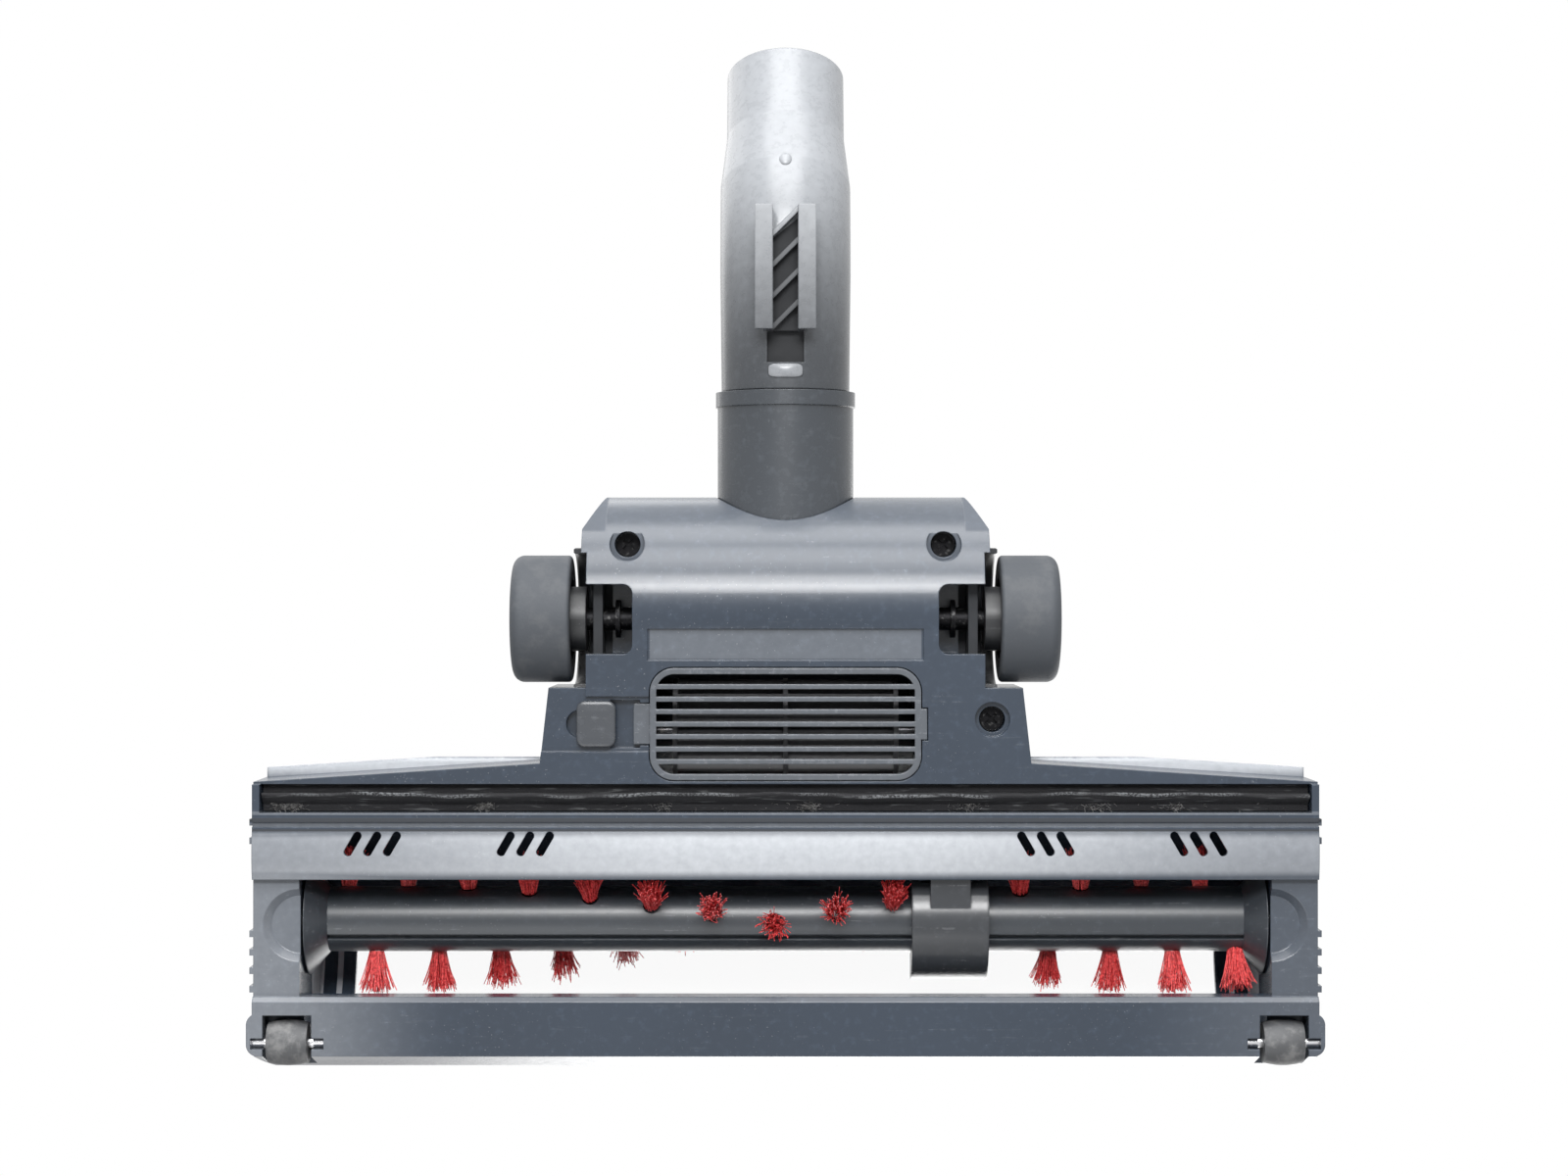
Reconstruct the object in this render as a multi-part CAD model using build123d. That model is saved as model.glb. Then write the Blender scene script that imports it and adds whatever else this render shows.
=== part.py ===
from build123d import *
import math
import os

# Turbine floor brush head, upright on its wheels: +Z up, front bar at -Y, neck at +Y.
# Every size is in millimetres. The floor is z = 0 and the middle of the head is x = 0.

# Plan of the head, front to back
bar_width = 280.0
bar_depth = 15.3
bar_step = 1.5
bar_step_depth = 11.1
corner_radius = 3.0
nose_depth = 4.4
cheek_width = 12.0
mouth_depth = 30.5
visor_depth = 12.7
visor_low_setback = 5.1
ridge_depth = 4.6
ridge_groove_setback = 1.0
ridge_groove_width = 1.2
ridge_groove_sink = 0.7
groove_depth = 7.4
groove_end_margin = 1.9
plate_end_depth = 0.6
plate_mid_depth = 5.4
cover_overhang = 2.5
hatch_margin = 1.0
hatch_to_drum = 14.9

# Heights of the head
bar_bottom = 2.5
bar_chamfer = 1.2
bar_inner_top = 10.5
visor_sag = 0.7
base_bottom = 2.8
cheek_sink = 2.0
groove_rise = 6.2
plate_bottom = 5.0
nose_height = 16.0
shoulder_height = 24.0
roof_height = 46.0
roof_setback = 32.5
shoulder_radius = 12.0
nose_corner = 9.0
nose_corner_lead = 1.5
front_parting = 26.0
wall = 2.2
clearance = 0.3
running_clearance = 0.05
press_gap = 0.05

# Slots in the visor
slot_length = 7.0
slot_width = 2.2
slot_pitch = 5.1
slot_lean = 30.0
slot_setback = 9.3
slot_outer_inset = 19.3
slot_group_pitch = 39.7

# Lint strip in the groove
strip_thickness = 1.6
strip_lip_setback = 2.4
strip_lip_width = 0.8
strip_lip_sink = 0.8
strip_flank = 2.2

# Cheeks and the grip ribs of the two ends
scoop_radius = 9.5
scoop_floor_radius = 7.5
scoop_depth = 2.0
side_rib_pitch = 4.8
side_rib_width = 1.7
side_rib_reach = 1.0
side_rib_top = 22.0
front_rib_count = 4
front_rib_margin = 1.0
rear_rib_count = 2
rear_rib_setback = 3.6

# Viewing window
window_pillar = 9.5

# Rear body, drum and wings
drum_radius = 30.4
drum_height = 35.0
drum_lip_reach = 1.5
drum_lip_start = 15.2
drum_lip_end = 21.4
drum_rear_inset = 4.0
dome_front_height = 43.0
wing_reach = 9.8
wing_flare = 2.2
wing_length = 19.6
wing_top = 38.0
panel_half = 36.0
panel_front_gap = 2.0
panel_length = 8.2
panel_sink = 0.8

# Screws
screw_hole_radius = 3.4
screw_ring_radius = 4.6
screw_ring_rise = 2.4
screw_head_radius = 3.0
screw_head_height = 2.0
screw_shank_radius = 1.5
screw_length = 22.0
rear_screw_wall = 5.2
rear_screw_y = 17.4
rear_screw_seat = 20.0
wing_screw_inset = 7.9
wing_screw_setback = 8.2
wing_screw_seat = 13.0

# Rear wheels
wheel_radius = 16.7
wheel_width = 15.5
wheel_gap = 4.2
wheel_setback = 2.2
tyre_depth = 3.7
tyre_round = 3.0
hub_dish = 3.0
boss_radius = 8.5
axle_radius = 3.0
axle_clip_radius = 5.0
axle_clip_width = 1.2
axle_clip_setback = 3.6
axle_web_setback = 1.5
axle_web = 2.5
axle_web_drop = 4.5
pocket_wall = 3.6
pocket_width = 12.1
pocket_length = 18.2
pocket_top = 24.0
pocket_round = 2.5

# Front castors
castor_radius = 5.95
castor_end_radius = 5.2
castor_width = 10.5
castor_inset = 10.6
castor_setback = 3.2
castor_pocket_width = 12.7
castor_pocket_length = 10.6
castor_pin_radius = 1.4
castor_pin_length = 19.0

# Brush roller
roller_setback = 12.0
roller_height = 20.5
core_radius = 8.6
roller_end_gap = 0.7
flange_radius = 14.6
flange_length = 5.3
roller_shaft_radius = 2.5
roller_shaft_seat = 6.0
bearing_wall = 2.5
cut_groove_width = 1.5
cut_groove_depth = 1.5
cut_groove_angle = 28.5
tuft_pitch = 16.2
tuft_start_x = 2.9
tuft_step_angle = 15.5
tuft_root_radius = 2.2
tuft_tip_radius = 3.9
tuft_reach = 19.8
tuft_plug = 4.0
tuft_clearance = 0.7

# Belt drive
belt_width = 8.0
belt_thickness = 1.2
belt_gap = 0.25
belt_side_room = 0.7
roller_pulley_radius = 9.3
pulley_seat_radius = 6.5
turbine_pulley_radius = 6.2
tooth_count = 18
tooth_depth = 0.7
guard_half = 10.0
guard_radius = 15.8
guard_wall = 1.5
guard_tongue_half = 5.2
guard_tongue_height = 1.6

# Turbine
turbine_radius = 14.0
turbine_half = 29.0
turbine_setback = 12.0
turbine_height = 22.8
turbine_disc = 1.2
turbine_hub_radius = 4.5
turbine_shaft_radius = 2.0
blade_count = 12
blade_thickness = 1.2
blade_bend = 4.0
blade_root_sink = 0.9
nozzle_half = 26.0
nozzle_low = 12.0
nozzle_high = 24.0
bushing_wall = 2.4
bushing_length = 2.0

# Hatch and latch
hatch_half = 35.3
hatch_length = 29.2
hatch_corner = 6.3
hatch_thickness = 2.0
hatch_rim = 1.6
slat_count = 7
slat_width = 1.3
hatch_tab_reach = 4.3
hatch_tab_half = 5.3
hatch_tab_rise = 1.7
hinge_nose_radius = 1.4
hinge_nose_half = 4.0
latch_gap = 4.6
latch_length = 10.2
latch_half = 6.0
latch_proud = 0.8
latch_corner = 2.5
latch_travel = 6.0
latch_slot_under = 1.5
notch_radius = 3.7
notch_overlap = 0.9
notch_sink = 3.0
trough_half = 7.2
trough_sink = 1.2

# Knuckle and neck
barrel_half = 36.0
barrel_wall = 2.5
barrel_end = 2.2
barrel_arc = 200.0
trunnion_radius = 6.0
trunnion_length = 5.0
collar_radius = 18.3
collar_reach = 58.5
collar_lip = 0.5
collar_lip_length = 4.0
collar_slot_room = 0.5
tilt_range = 60.0
journal_radius = 16.0
bore_radius = 13.7
pipe_root_radius = 17.25
pipe_bend_radius = 17.6
neck_bend = 24.0
neck_bend_reach = 102.5
neck_bend_sweep = 60.0
spigot_radius = 16.0
spigot_land = 20.0
spigot_leg = 48.0
neck_ring_radius = 18.0
neck_ring_length = 2.6
hook_half = 8.1
hook_gap = 6.7
hook_reach = 74.0
hook_length = 32.8
hook_drop = 6.5
hook_flange = 1.6
hook_rib_count = 4
hook_rib_width = 1.2
hook_rib_angle = -45.0
hook_pocket_half = 4.9
hook_pocket_length = 8.3
hook_pocket_sink = 2.6

# Places that follow from the sizes
neck_tan = neck_bend_sweep * math.tan(math.radians(neck_bend / 2))
neck_cos = math.cos(math.radians(neck_bend))
neck_sin = math.sin(math.radians(neck_bend))
front_reach = (nose_depth + bar_depth + mouth_depth + visor_depth + ridge_depth + groove_depth
               + hatch_margin + hatch_length + hatch_to_drum)
rear_reach = neck_bend_reach + spigot_leg * neck_cos + spigot_radius * neck_sin
nose_y = -(front_reach + rear_reach) / 2
bar_y = nose_y + nose_depth
mouth_y = bar_y + bar_depth
visor_y = mouth_y + mouth_depth
ridge_y = visor_y + visor_depth
groove_y = ridge_y + ridge_depth
plate_y = groove_y + groove_depth
hatch_y = plate_y + hatch_margin
hatch_rear_y = hatch_y + hatch_length
drum_y = hatch_rear_y + hatch_to_drum
roller_y = visor_y - roller_setback
turbine_y = hatch_y + turbine_setback
wheel_y = drum_y - wheel_setback
castor_y = bar_y + castor_setback
bend_y = drum_y + neck_bend_reach
wing_rear_y = plate_y + plate_mid_depth + wing_length
side_half = bar_width / 2 - bar_step
mouth_half = side_half - cheek_width
core_half = mouth_half - roller_end_gap - flange_length
castor_x = bar_width / 2 - castor_inset
window_half = mouth_half - window_pillar
chamber_half = barrel_half + clearance
pocket_inner = chamber_half + pocket_wall
body_half = pocket_inner + pocket_width
drum_half = body_half + drum_lip_reach
wing_half_rear = body_half + wing_reach
wing_half_front = wing_half_rear + wing_flare
belt_half_room = belt_width / 2 + belt_side_room
belt_x = -(chamber_half + bushing_length + belt_half_room)
brush_room = math.hypot(tuft_reach, tuft_tip_radius) + tuft_clearance
partition_y = groove_y - wall - clearance
partition_rear_y = groove_y - clearance
groove_top = base_bottom + groove_rise
cheek_bottom = base_bottom + cheek_sink
trough_top = plate_bottom + trough_sink
barrel_radius = drum_radius - wall - clearance
above = roof_height + 2 * drum_radius


def span_box(x0, x1, y0, y1, z0, z1):
    """A box from its two corners."""
    middle = Pos((x0 + x1) / 2, (y0 + y1) / 2, (z0 + z1) / 2)
    return middle * Box(abs(x1 - x0), abs(y1 - y0), abs(z1 - z0))


def rod_x(radius, x0, x1, y, z):
    """A cylinder along X."""
    return Pos((x0 + x1) / 2, y, z) * Rot(0, 90, 0) * Cylinder(radius, abs(x1 - x0))


def rod_y(radius, x, y0, y1, z):
    """A cylinder along Y."""
    return Pos(x, (y0 + y1) / 2, z) * Rot(90, 0, 0) * Cylinder(radius, abs(y1 - y0))


def rod_z(radius, x, y, z0, z1):
    """A cylinder along Z."""
    return Pos(x, y, (z0 + z1) / 2) * Cylinder(radius, abs(z1 - z0))


def slab(section, x0, x1):
    """A section drawn in Y and Z, carried along X."""
    return extrude(Plane.YZ.offset(x0) * section, amount=x1 - x0, dir=(1, 0, 0))


def prism(plan, z0, z1):
    """A plan drawn in X and Y, carried up Z."""
    return extrude(Pos(0, 0, z0) * plan, amount=z1 - z0, dir=(0, 0, 1))


def both_sides(shape):
    """A piece and its mirror image across the middle of the head."""
    return shape + mirror(shape, about=Plane.YZ)


def head_section():
    """Side profile of the wide front part: bar, visor, roof arch and nose."""
    roof = (nose_y + roof_setback, roof_height)
    rear_y = plate_y + plate_mid_depth + cover_overhang
    visor_low = (visor_y + visor_low_setback, base_bottom - visor_sag)
    outline = Polyline((nose_y, nose_height), (bar_y, bar_bottom), (mouth_y - bar_chamfer, bar_bottom),
                       (mouth_y, bar_bottom + bar_chamfer), (mouth_y, cheek_bottom), (visor_y, cheek_bottom),
                       (visor_y, base_bottom))
    outline += ThreePointArc((visor_y, base_bottom), visor_low, (ridge_y, base_bottom))
    outline += Polyline((ridge_y, base_bottom), (plate_y, base_bottom), (plate_y, plate_bottom),
                        (rear_y, plate_bottom), (rear_y, shoulder_height))
    outline += TangentArc(roof, (rear_y, shoulder_height), tangent=(1, 0))
    outline += TangentArc(roof, (nose_y, nose_height), tangent=(-1, 0))
    return make_face(outline)


def rear_section():
    """Side profile of the narrow rear part: flat belly, drum and dome."""
    drum = Pos(drum_y, drum_height) * Circle(drum_radius)
    belly = Polygon((ridge_y, plate_bottom), (drum_y, plate_bottom), (drum_y, drum_height),
                    (ridge_y, drum_height), align=None)
    drum_top = (drum_y, drum_height + drum_radius)
    dome_front = (nose_y + roof_setback, dome_front_height)
    outline = TangentArc(drum_top, dome_front, tangent=(-1, 0))
    outline += Polyline(dome_front, (dome_front[0], front_parting), (drum_y, front_parting), drum_top)
    return make_face(outline) + belly + drum


def head_plan(overhang):
    """Outline of the front part from above, with the rear edge that rises to the wings."""
    end_y = plate_y + plate_end_depth + overhang
    mid_y = plate_y + plate_mid_depth + overhang
    right = [(side_half, nose_y), (side_half, end_y), (wing_half_front, mid_y)]
    left = [(-x, y) for x, y in reversed(right)]
    length = 2 * (drum_y - nose_y)
    rounded = RectangleRounded(2 * side_half, length, nose_corner)
    rounded = Pos(0, nose_y - nose_corner_lead + length / 2) * rounded
    return Polygon(*right, *left, align=None) & rounded


def rear_plan():
    """Outline of the rear part from above, with the lips and sloped rear corners of the drum."""
    right = [(body_half, nose_y + roof_setback), (body_half, drum_y + drum_lip_start),
             (drum_half, drum_y + drum_lip_start), (drum_half, drum_y + drum_lip_end),
             (body_half - drum_rear_inset, drum_y + drum_radius)]
    left = [(-x, y) for x, y in reversed(right)]
    return Polygon(*right, *left, align=None)


def wing_plan():
    """Outline of the two wings beside the hatch."""
    right = [(wing_half_front, plate_y), (wing_half_front, plate_y + plate_mid_depth),
             (wing_half_rear, wing_rear_y)]
    left = [(-x, y) for x, y in reversed(right)]
    return Polygon(*right, *left, align=None)


def shoulder_form():
    """Front view of the wide part with its rounded shoulders, carried along Y."""
    view = Plane.XZ * RectangleRounded(2 * side_half, 2 * roof_height, shoulder_radius)
    return extrude(view, amount=front_reach + rear_reach, both=True)


def side_ribs():
    """Upright grip ribs on the two ends: a row along the mouth and a short one at the ridge."""
    ribs = []
    rows = ((mouth_y + front_rib_margin, front_rib_count), (ridge_y - rear_rib_setback, rear_rib_count))
    for start, count in rows:
        for index in range(count):
            y = start + index * side_rib_pitch
            ribs.append(span_box(side_half - wall, side_half + side_rib_reach, y, y + side_rib_width,
                                 cheek_bottom, side_rib_top))
    return both_sides(Part() + ribs)


def housing_body(overhang):
    """Closed outer form of the housing."""
    head = slab(head_section(), -side_half, side_half) & prism(head_plan(overhang), 0, above)
    head &= shoulder_form()
    rear = slab(rear_section(), -drum_half, drum_half) & prism(rear_plan(), 0, above)
    wings = prism(wing_plan(), plate_bottom, wing_top)
    bar_plan = RectangleRounded(bar_width, bar_step_depth, corner_radius)
    bar = prism(Pos(0, bar_y + bar_step_depth / 2) * bar_plan, bar_bottom, nose_height)
    return head + rear + wings + bar + side_ribs()


def housing_rooms():
    """Air spaces inside: brush chamber, turbine chamber with the drum, and the belt room."""
    head_inside = offset(head_section(), amount=-wall)
    rear_inside = offset(rear_section(), amount=-wall)
    room = slab(head_inside, -mouth_half, mouth_half)
    brush = room & span_box(-side_half, side_half, nose_y, partition_y, 0, above)
    brush -= span_box(-side_half, side_half, nose_y, mouth_y, 0, bar_inner_top)
    brush += rod_x(brush_room, -mouth_half, mouth_half, roller_y, roller_height)
    brush += span_box(-mouth_half, mouth_half, mouth_y, visor_y, 0, roller_height)
    rear = slab(rear_inside, -chamber_half, chamber_half)
    rear &= span_box(-side_half, side_half, partition_rear_y, drum_y + drum_radius, 0, above)
    rear -= span_box(-side_half, side_half, nose_y, plate_y + wall, 0, groove_top + wall)
    belt = span_box(belt_x - belt_half_room, belt_x + belt_half_room, partition_y - wall, wing_rear_y,
                    groove_top + wall, drum_height + turbine_radius)
    nozzle = span_box(-nozzle_half, nozzle_half, partition_y - wall, partition_rear_y + wall,
                      nozzle_low, nozzle_high)
    return brush + rear + belt + nozzle


def below_parting():
    """Space under the joint between the lower housing and the top cover."""
    step_y = partition_rear_y
    front = span_box(-bar_width, bar_width, nose_y - wall, step_y, -wall, front_parting)
    rear = span_box(-wing_half_front, wing_half_front, step_y, drum_y + 2 * drum_radius, -wall, drum_height)
    ends = span_box(-bar_width, bar_width, step_y, drum_y, -wall, front_parting)
    return front + rear + ends


def visor_slots():
    """Four groups of leaning slots through the visor."""
    slots = []
    outer_x = mouth_half - slot_outer_inset
    for group_x in (outer_x - slot_group_pitch, outer_x):
        for index in (-1, 0, 1):
            shape = Rot(0, 0, slot_lean) * SlotOverall(slot_length, slot_width, rotation=90)
            place = Pos(group_x + index * slot_pitch, visor_y + slot_setback)
            slots.append(prism(place * shape, 0, base_bottom + 2 * wall))
    return both_sides(Part() + slots)


def cheek_scoops():
    """Round conical hollows in the cheeks at the ends of the roller."""
    cone = Cone(scoop_radius, scoop_floor_radius, scoop_depth)
    return both_sides(Pos(mouth_half, roller_y, cheek_bottom + scoop_depth / 2) * cone)


def ridge_groove():
    """Fine groove along the ridge between the visor and the lint strip."""
    front = ridge_y + ridge_groove_setback
    top = base_bottom + ridge_groove_sink
    return span_box(-side_half, side_half, front, front + ridge_groove_width, 0, top)


def shaft_holes():
    """Seats of the turbine bushings, roller bearings and knuckle trunnions."""
    turbine_seat = turbine_shaft_radius + bushing_wall + press_gap
    roller_seat = roller_shaft_radius + bearing_wall + press_gap
    trunnion_end = barrel_half + trunnion_length + clearance
    bushing_end = -belt_x - belt_half_room
    holes = rod_x(turbine_seat, -bushing_end, bushing_end, turbine_y, turbine_height)
    holes += rod_x(roller_seat, -mouth_half - roller_shaft_seat, mouth_half + roller_shaft_seat,
                   roller_y, roller_height)
    trunnion_hole = trunnion_radius + running_clearance
    holes += rod_x(trunnion_hole, -trunnion_end, trunnion_end, drum_y, drum_height)
    return holes


def screw_places():
    """X and Y of each housing screw, with the heights of the skin around it and of its seat."""
    rear_x = chamber_half + rear_screw_wall
    rear_y = drum_y + rear_screw_y
    rear_skin = drum_height - math.sqrt(drum_radius ** 2 - rear_screw_y ** 2)
    wing_x = wing_half_rear - wing_screw_inset
    wing_y = wing_rear_y - wing_screw_setback
    return [(rear_x, rear_y, rear_skin, rear_screw_seat), (-rear_x, rear_y, rear_skin, rear_screw_seat),
            (-wing_x, wing_y, plate_bottom, wing_screw_seat)]


def screw_holes():
    """Counterbored holes from below, with a pilot for each shank."""
    holes = []
    for x, y, skin, seat in screw_places():
        holes.append(rod_z(screw_ring_radius, x, y, 0, skin + screw_ring_rise))
        holes.append(rod_z(screw_hole_radius, x, y, 0, seat))
        holes.append(rod_z(screw_shank_radius + press_gap, x, y, seat, seat + screw_length + clearance))
    return Part() + holes


def wheel_pockets():
    """Pockets beside the wheels, open below and at the side, with a web for each axle."""
    plan = RectangleRounded(2 * pocket_width, pocket_length, pocket_round)
    pocket = prism(Pos(pocket_inner + pocket_width, wheel_y) * plan, 0, pocket_top)
    web_x = body_half - axle_web_setback
    web = span_box(web_x - axle_web, web_x, wheel_y - pocket_length, wheel_y + pocket_length,
                   wheel_radius - axle_web_drop, above)
    start = (chamber_half + pocket_inner) / 2
    axle = rod_x(axle_radius + press_gap, start, body_half, wheel_y, wheel_radius)
    return both_sides(pocket - web + axle)


def castor_pockets():
    """Pockets for the castors, open to the front and below, and the slots of their pins."""
    pocket = span_box(castor_x - castor_pocket_width / 2, castor_x + castor_pocket_width / 2,
                      nose_y - wall, bar_y + castor_pocket_length, 0, 2 * castor_radius + 2 * clearance)
    half = castor_pin_length / 2
    pin = rod_x(castor_pin_radius + press_gap, castor_x - half, castor_x + half, castor_y, castor_radius)
    slot = span_box(castor_x - half, castor_x + half, castor_y - castor_pin_radius - press_gap,
                    castor_y + castor_pin_radius + press_gap, 0, castor_radius)
    return both_sides(pocket + pin + slot)


def hatch_plan(grow):
    """Rounded outline of the hatch, grown for its seam."""
    plan = RectangleRounded(2 * (hatch_half + grow), hatch_length + 2 * grow, hatch_corner + grow)
    return Pos(0, (hatch_y + hatch_rear_y) / 2) * plan


def hinge_place():
    """X and Z of the hatch's hinge axis, in the seam at its lower edge."""
    return -hatch_half - clearance / 2, plate_bottom


def latch_places():
    """X of the latch button's two ends."""
    near = hatch_half + hatch_tab_reach + latch_gap
    return near, near + latch_length


def hatch_cuts():
    """Opening for the hatch, seats of its tab and hinge nose, and the trough of the latch."""
    near, far = latch_places()
    latch_y = (hatch_y + hatch_rear_y) / 2
    hinge_x, hinge_z = hinge_place()
    opening = prism(hatch_plan(clearance), 0, plate_bottom + wall + clearance)
    tab_top = plate_bottom + hatch_tab_rise + hatch_thickness
    notch = span_box(0, hatch_half + hatch_tab_reach + clearance, latch_y - hatch_tab_half - clearance,
                     latch_y + hatch_tab_half + clearance, 0, tab_top)
    seat_half = hinge_nose_half + clearance
    seat = rod_y(hinge_nose_radius + clearance, hinge_x, latch_y - seat_half, latch_y + seat_half, hinge_z)
    trough = span_box(hatch_half, wing_half_front, latch_y - trough_half, latch_y + trough_half,
                      0, trough_top)
    trough += span_box(body_half, wing_half_front, latch_y, wing_rear_y, 0, trough_top)
    slot_half = latch_half + clearance
    slot = span_box(near - latch_travel - clearance, near + latch_slot_under, latch_y - slot_half,
                    latch_y + slot_half, 0, tab_top)
    finger = rod_z(notch_radius, far - notch_overlap, latch_y, 0, trough_top + notch_sink)
    return opening + notch + seat + trough + slot + finger


def label_recess():
    """Shallow bare strip between the hatch and the drum."""
    front = hatch_rear_y + panel_front_gap
    block = span_box(-panel_half, panel_half, front, front + panel_length, 0, plate_bottom + panel_sink)
    return block - rod_x(drum_radius - panel_sink, -body_half, body_half, drum_y, drum_height)


def neck_slot():
    """Path of the collar through the drum as the neck tilts up."""
    room = collar_radius + collar_slot_room
    slot = rod_y(room, 0, drum_y, drum_y + 2 * drum_radius, drum_height)
    tilt = math.radians(tilt_range)
    reach = math.sqrt(barrel_radius ** 2 - collar_radius ** 2)
    front = drum_y + reach * math.cos(tilt) - collar_radius * math.sin(tilt) - collar_slot_room
    return slot + span_box(-room, room, front, drum_y + 2 * drum_radius, drum_height, above)


def lower_housing():
    """Base with the bar, mouth, visor, groove, belly and the lower half of the drum."""
    shape = (housing_body(0) & below_parting()) - housing_rooms()
    shape -= span_box(-side_half + groove_end_margin, side_half - groove_end_margin, groove_y, plate_y,
                      0, groove_top)
    shape -= visor_slots()
    shape -= ridge_groove()
    shape -= cheek_scoops()
    shape -= shaft_holes()
    shape -= screw_holes()
    shape -= wheel_pockets()
    shape -= castor_pockets()
    shape -= hatch_cuts()
    shape -= label_recess()
    shape -= neck_slot()
    return shape


def window_space(gap):
    """Space of the viewing window in the roof arch, with a gap round it."""
    half = window_half + gap
    return span_box(-half, half, nose_y - wall, roller_y + gap, front_parting + wall - gap, above)


def viewing_window():
    """Clear curved pane over the front of the roller."""
    skin = head_section() - offset(head_section(), amount=-wall)
    return slab(skin, -window_half, window_half) & window_space(0)


def top_cover():
    """Roof arch, dome and the upper half of the drum."""
    shape = (housing_body(cover_overhang) - below_parting()) - housing_rooms()
    shape -= window_space(press_gap)
    shape -= shaft_holes()
    shape -= screw_holes()
    shape -= neck_slot()
    return shape


def lint_strip():
    """Soft strip in the groove behind the visor, with a lip that leans against the carpet."""
    half = side_half - groove_end_margin - clearance
    front = groove_y + clearance
    rear = plate_y - clearance
    floor = groove_top - strip_thickness
    lip_rear = plate_y - strip_lip_setback
    lip_front = lip_rear - strip_lip_width
    tip = base_bottom + strip_lip_sink
    section = Polygon((front, groove_top), (front, floor), (lip_front - strip_flank, floor),
                      (lip_front, tip), (lip_rear, tip), (lip_rear, floor), (rear, floor),
                      (rear, groove_top), align=None)
    return slab(section, -half, half)


def belt_guard():
    """Curved band under the roller, with side plates and a tongue over the visor."""
    inner = guard_radius - guard_wall
    x0 = belt_x - guard_half
    x1 = belt_x + guard_half
    drum = rod_x(guard_radius, x0, x1, roller_y, roller_height)
    drum -= rod_x(inner, x0 + guard_wall, x1 - guard_wall, roller_y, roller_height)
    eye = core_radius + 2 * clearance
    drum -= rod_x(eye, x0 - wall, x1 + wall, roller_y, roller_height)
    half_band = drum & span_box(x0, x1, roller_y - guard_radius, roller_y + guard_radius, 0, roller_height)
    belt_low = roller_height - roller_pulley_radius - belt_gap - belt_thickness - 2 * clearance
    half_band -= span_box(x0 + guard_wall, x1 - guard_wall, roller_y, roller_y + guard_radius,
                          belt_low, roller_height)
    low = base_bottom + wall + clearance
    tongue = span_box(belt_x - guard_tongue_half, belt_x + guard_tongue_half, roller_y,
                      partition_y - clearance, low, low + guard_tongue_height)
    tongue -= rod_x(inner, x0, x1, roller_y, roller_height)
    return half_band + tongue


def belt_run(gap):
    """Filled outline of the belt round both pulleys."""
    at_roller = Pos(roller_y, roller_height) * Circle(roller_pulley_radius + gap)
    at_turbine = Pos(turbine_y, turbine_height) * Circle(turbine_pulley_radius + gap)
    return make_hull(at_roller.edges() + at_turbine.edges())


def drive_belt():
    """Belt from the turbine pulley to the roller pulley."""
    band = belt_run(belt_gap + belt_thickness) - belt_run(belt_gap)
    return slab(band, belt_x - belt_width / 2, belt_x + belt_width / 2)


def housing_screws():
    """Screws that hold the two halves, one solid each."""
    screws = []
    for x, y, _, seat in screw_places():
        head = rod_z(screw_head_radius, x, y, seat - screw_head_height, seat)
        screws.append(head + rod_z(screw_shank_radius, x, y, seat, seat + screw_length))
    return Compound(children=screws)


def bushing_pair(bore, ring, inner_x, outer_x, y, z):
    """Two plain bearings, one at each side."""
    piece = rod_x(bore + ring, inner_x, outer_x, y, z)
    piece -= rod_x(bore + running_clearance, inner_x, outer_x, y, z)
    return Compound(children=[piece, mirror(piece, about=Plane.YZ)])


def turbine_bearings():
    """Bushings of the turbine shaft in the chamber walls."""
    outer = -belt_x - belt_half_room
    return bushing_pair(turbine_shaft_radius, bushing_wall, chamber_half, outer, turbine_y, turbine_height)


def roller_bearings():
    """Bushings of the roller shaft in the cheeks."""
    outer = mouth_half + roller_shaft_seat
    return bushing_pair(roller_shaft_radius, bearing_wall, mouth_half, outer, roller_y, roller_height)


def castor_pins():
    """Steel pins of the castors."""
    half = castor_pin_length / 2
    pin = rod_x(castor_pin_radius, castor_x - half, castor_x + half, castor_y, castor_radius)
    return Compound(children=[pin, mirror(pin, about=Plane.YZ)])


def wheel_faces():
    """X of the inner and outer face of a rear wheel."""
    inner = body_half + wheel_gap
    return inner, inner + wheel_width


def wheel_axles():
    """Steel stubs of the rear wheels, each with its clip in the pocket."""
    inner, outer = wheel_faces()
    start = (chamber_half + pocket_inner) / 2 + clearance
    clip_x = pocket_inner + axle_clip_setback
    stub = rod_x(axle_radius, start, outer - wall - clearance, wheel_y, wheel_radius)
    stub += rod_x(axle_clip_radius, clip_x, clip_x + axle_clip_width, wheel_y, wheel_radius)
    return Compound(children=[stub, mirror(stub, about=Plane.YZ)])


def wheel_hub():
    """Hub of the +X rear wheel: dished disc with a boss towards the body."""
    inner, outer = wheel_faces()
    rim = wheel_radius - tyre_depth
    hub = rod_x(rim, inner, outer, wheel_y, wheel_radius)
    hub -= rod_x(rim - wall, inner, inner + hub_dish, wheel_y, wheel_radius)
    hub += rod_x(boss_radius, body_half + clearance, inner + hub_dish, wheel_y, wheel_radius)
    return hub - rod_x(axle_radius + running_clearance, body_half, outer - wall, wheel_y, wheel_radius)


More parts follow.
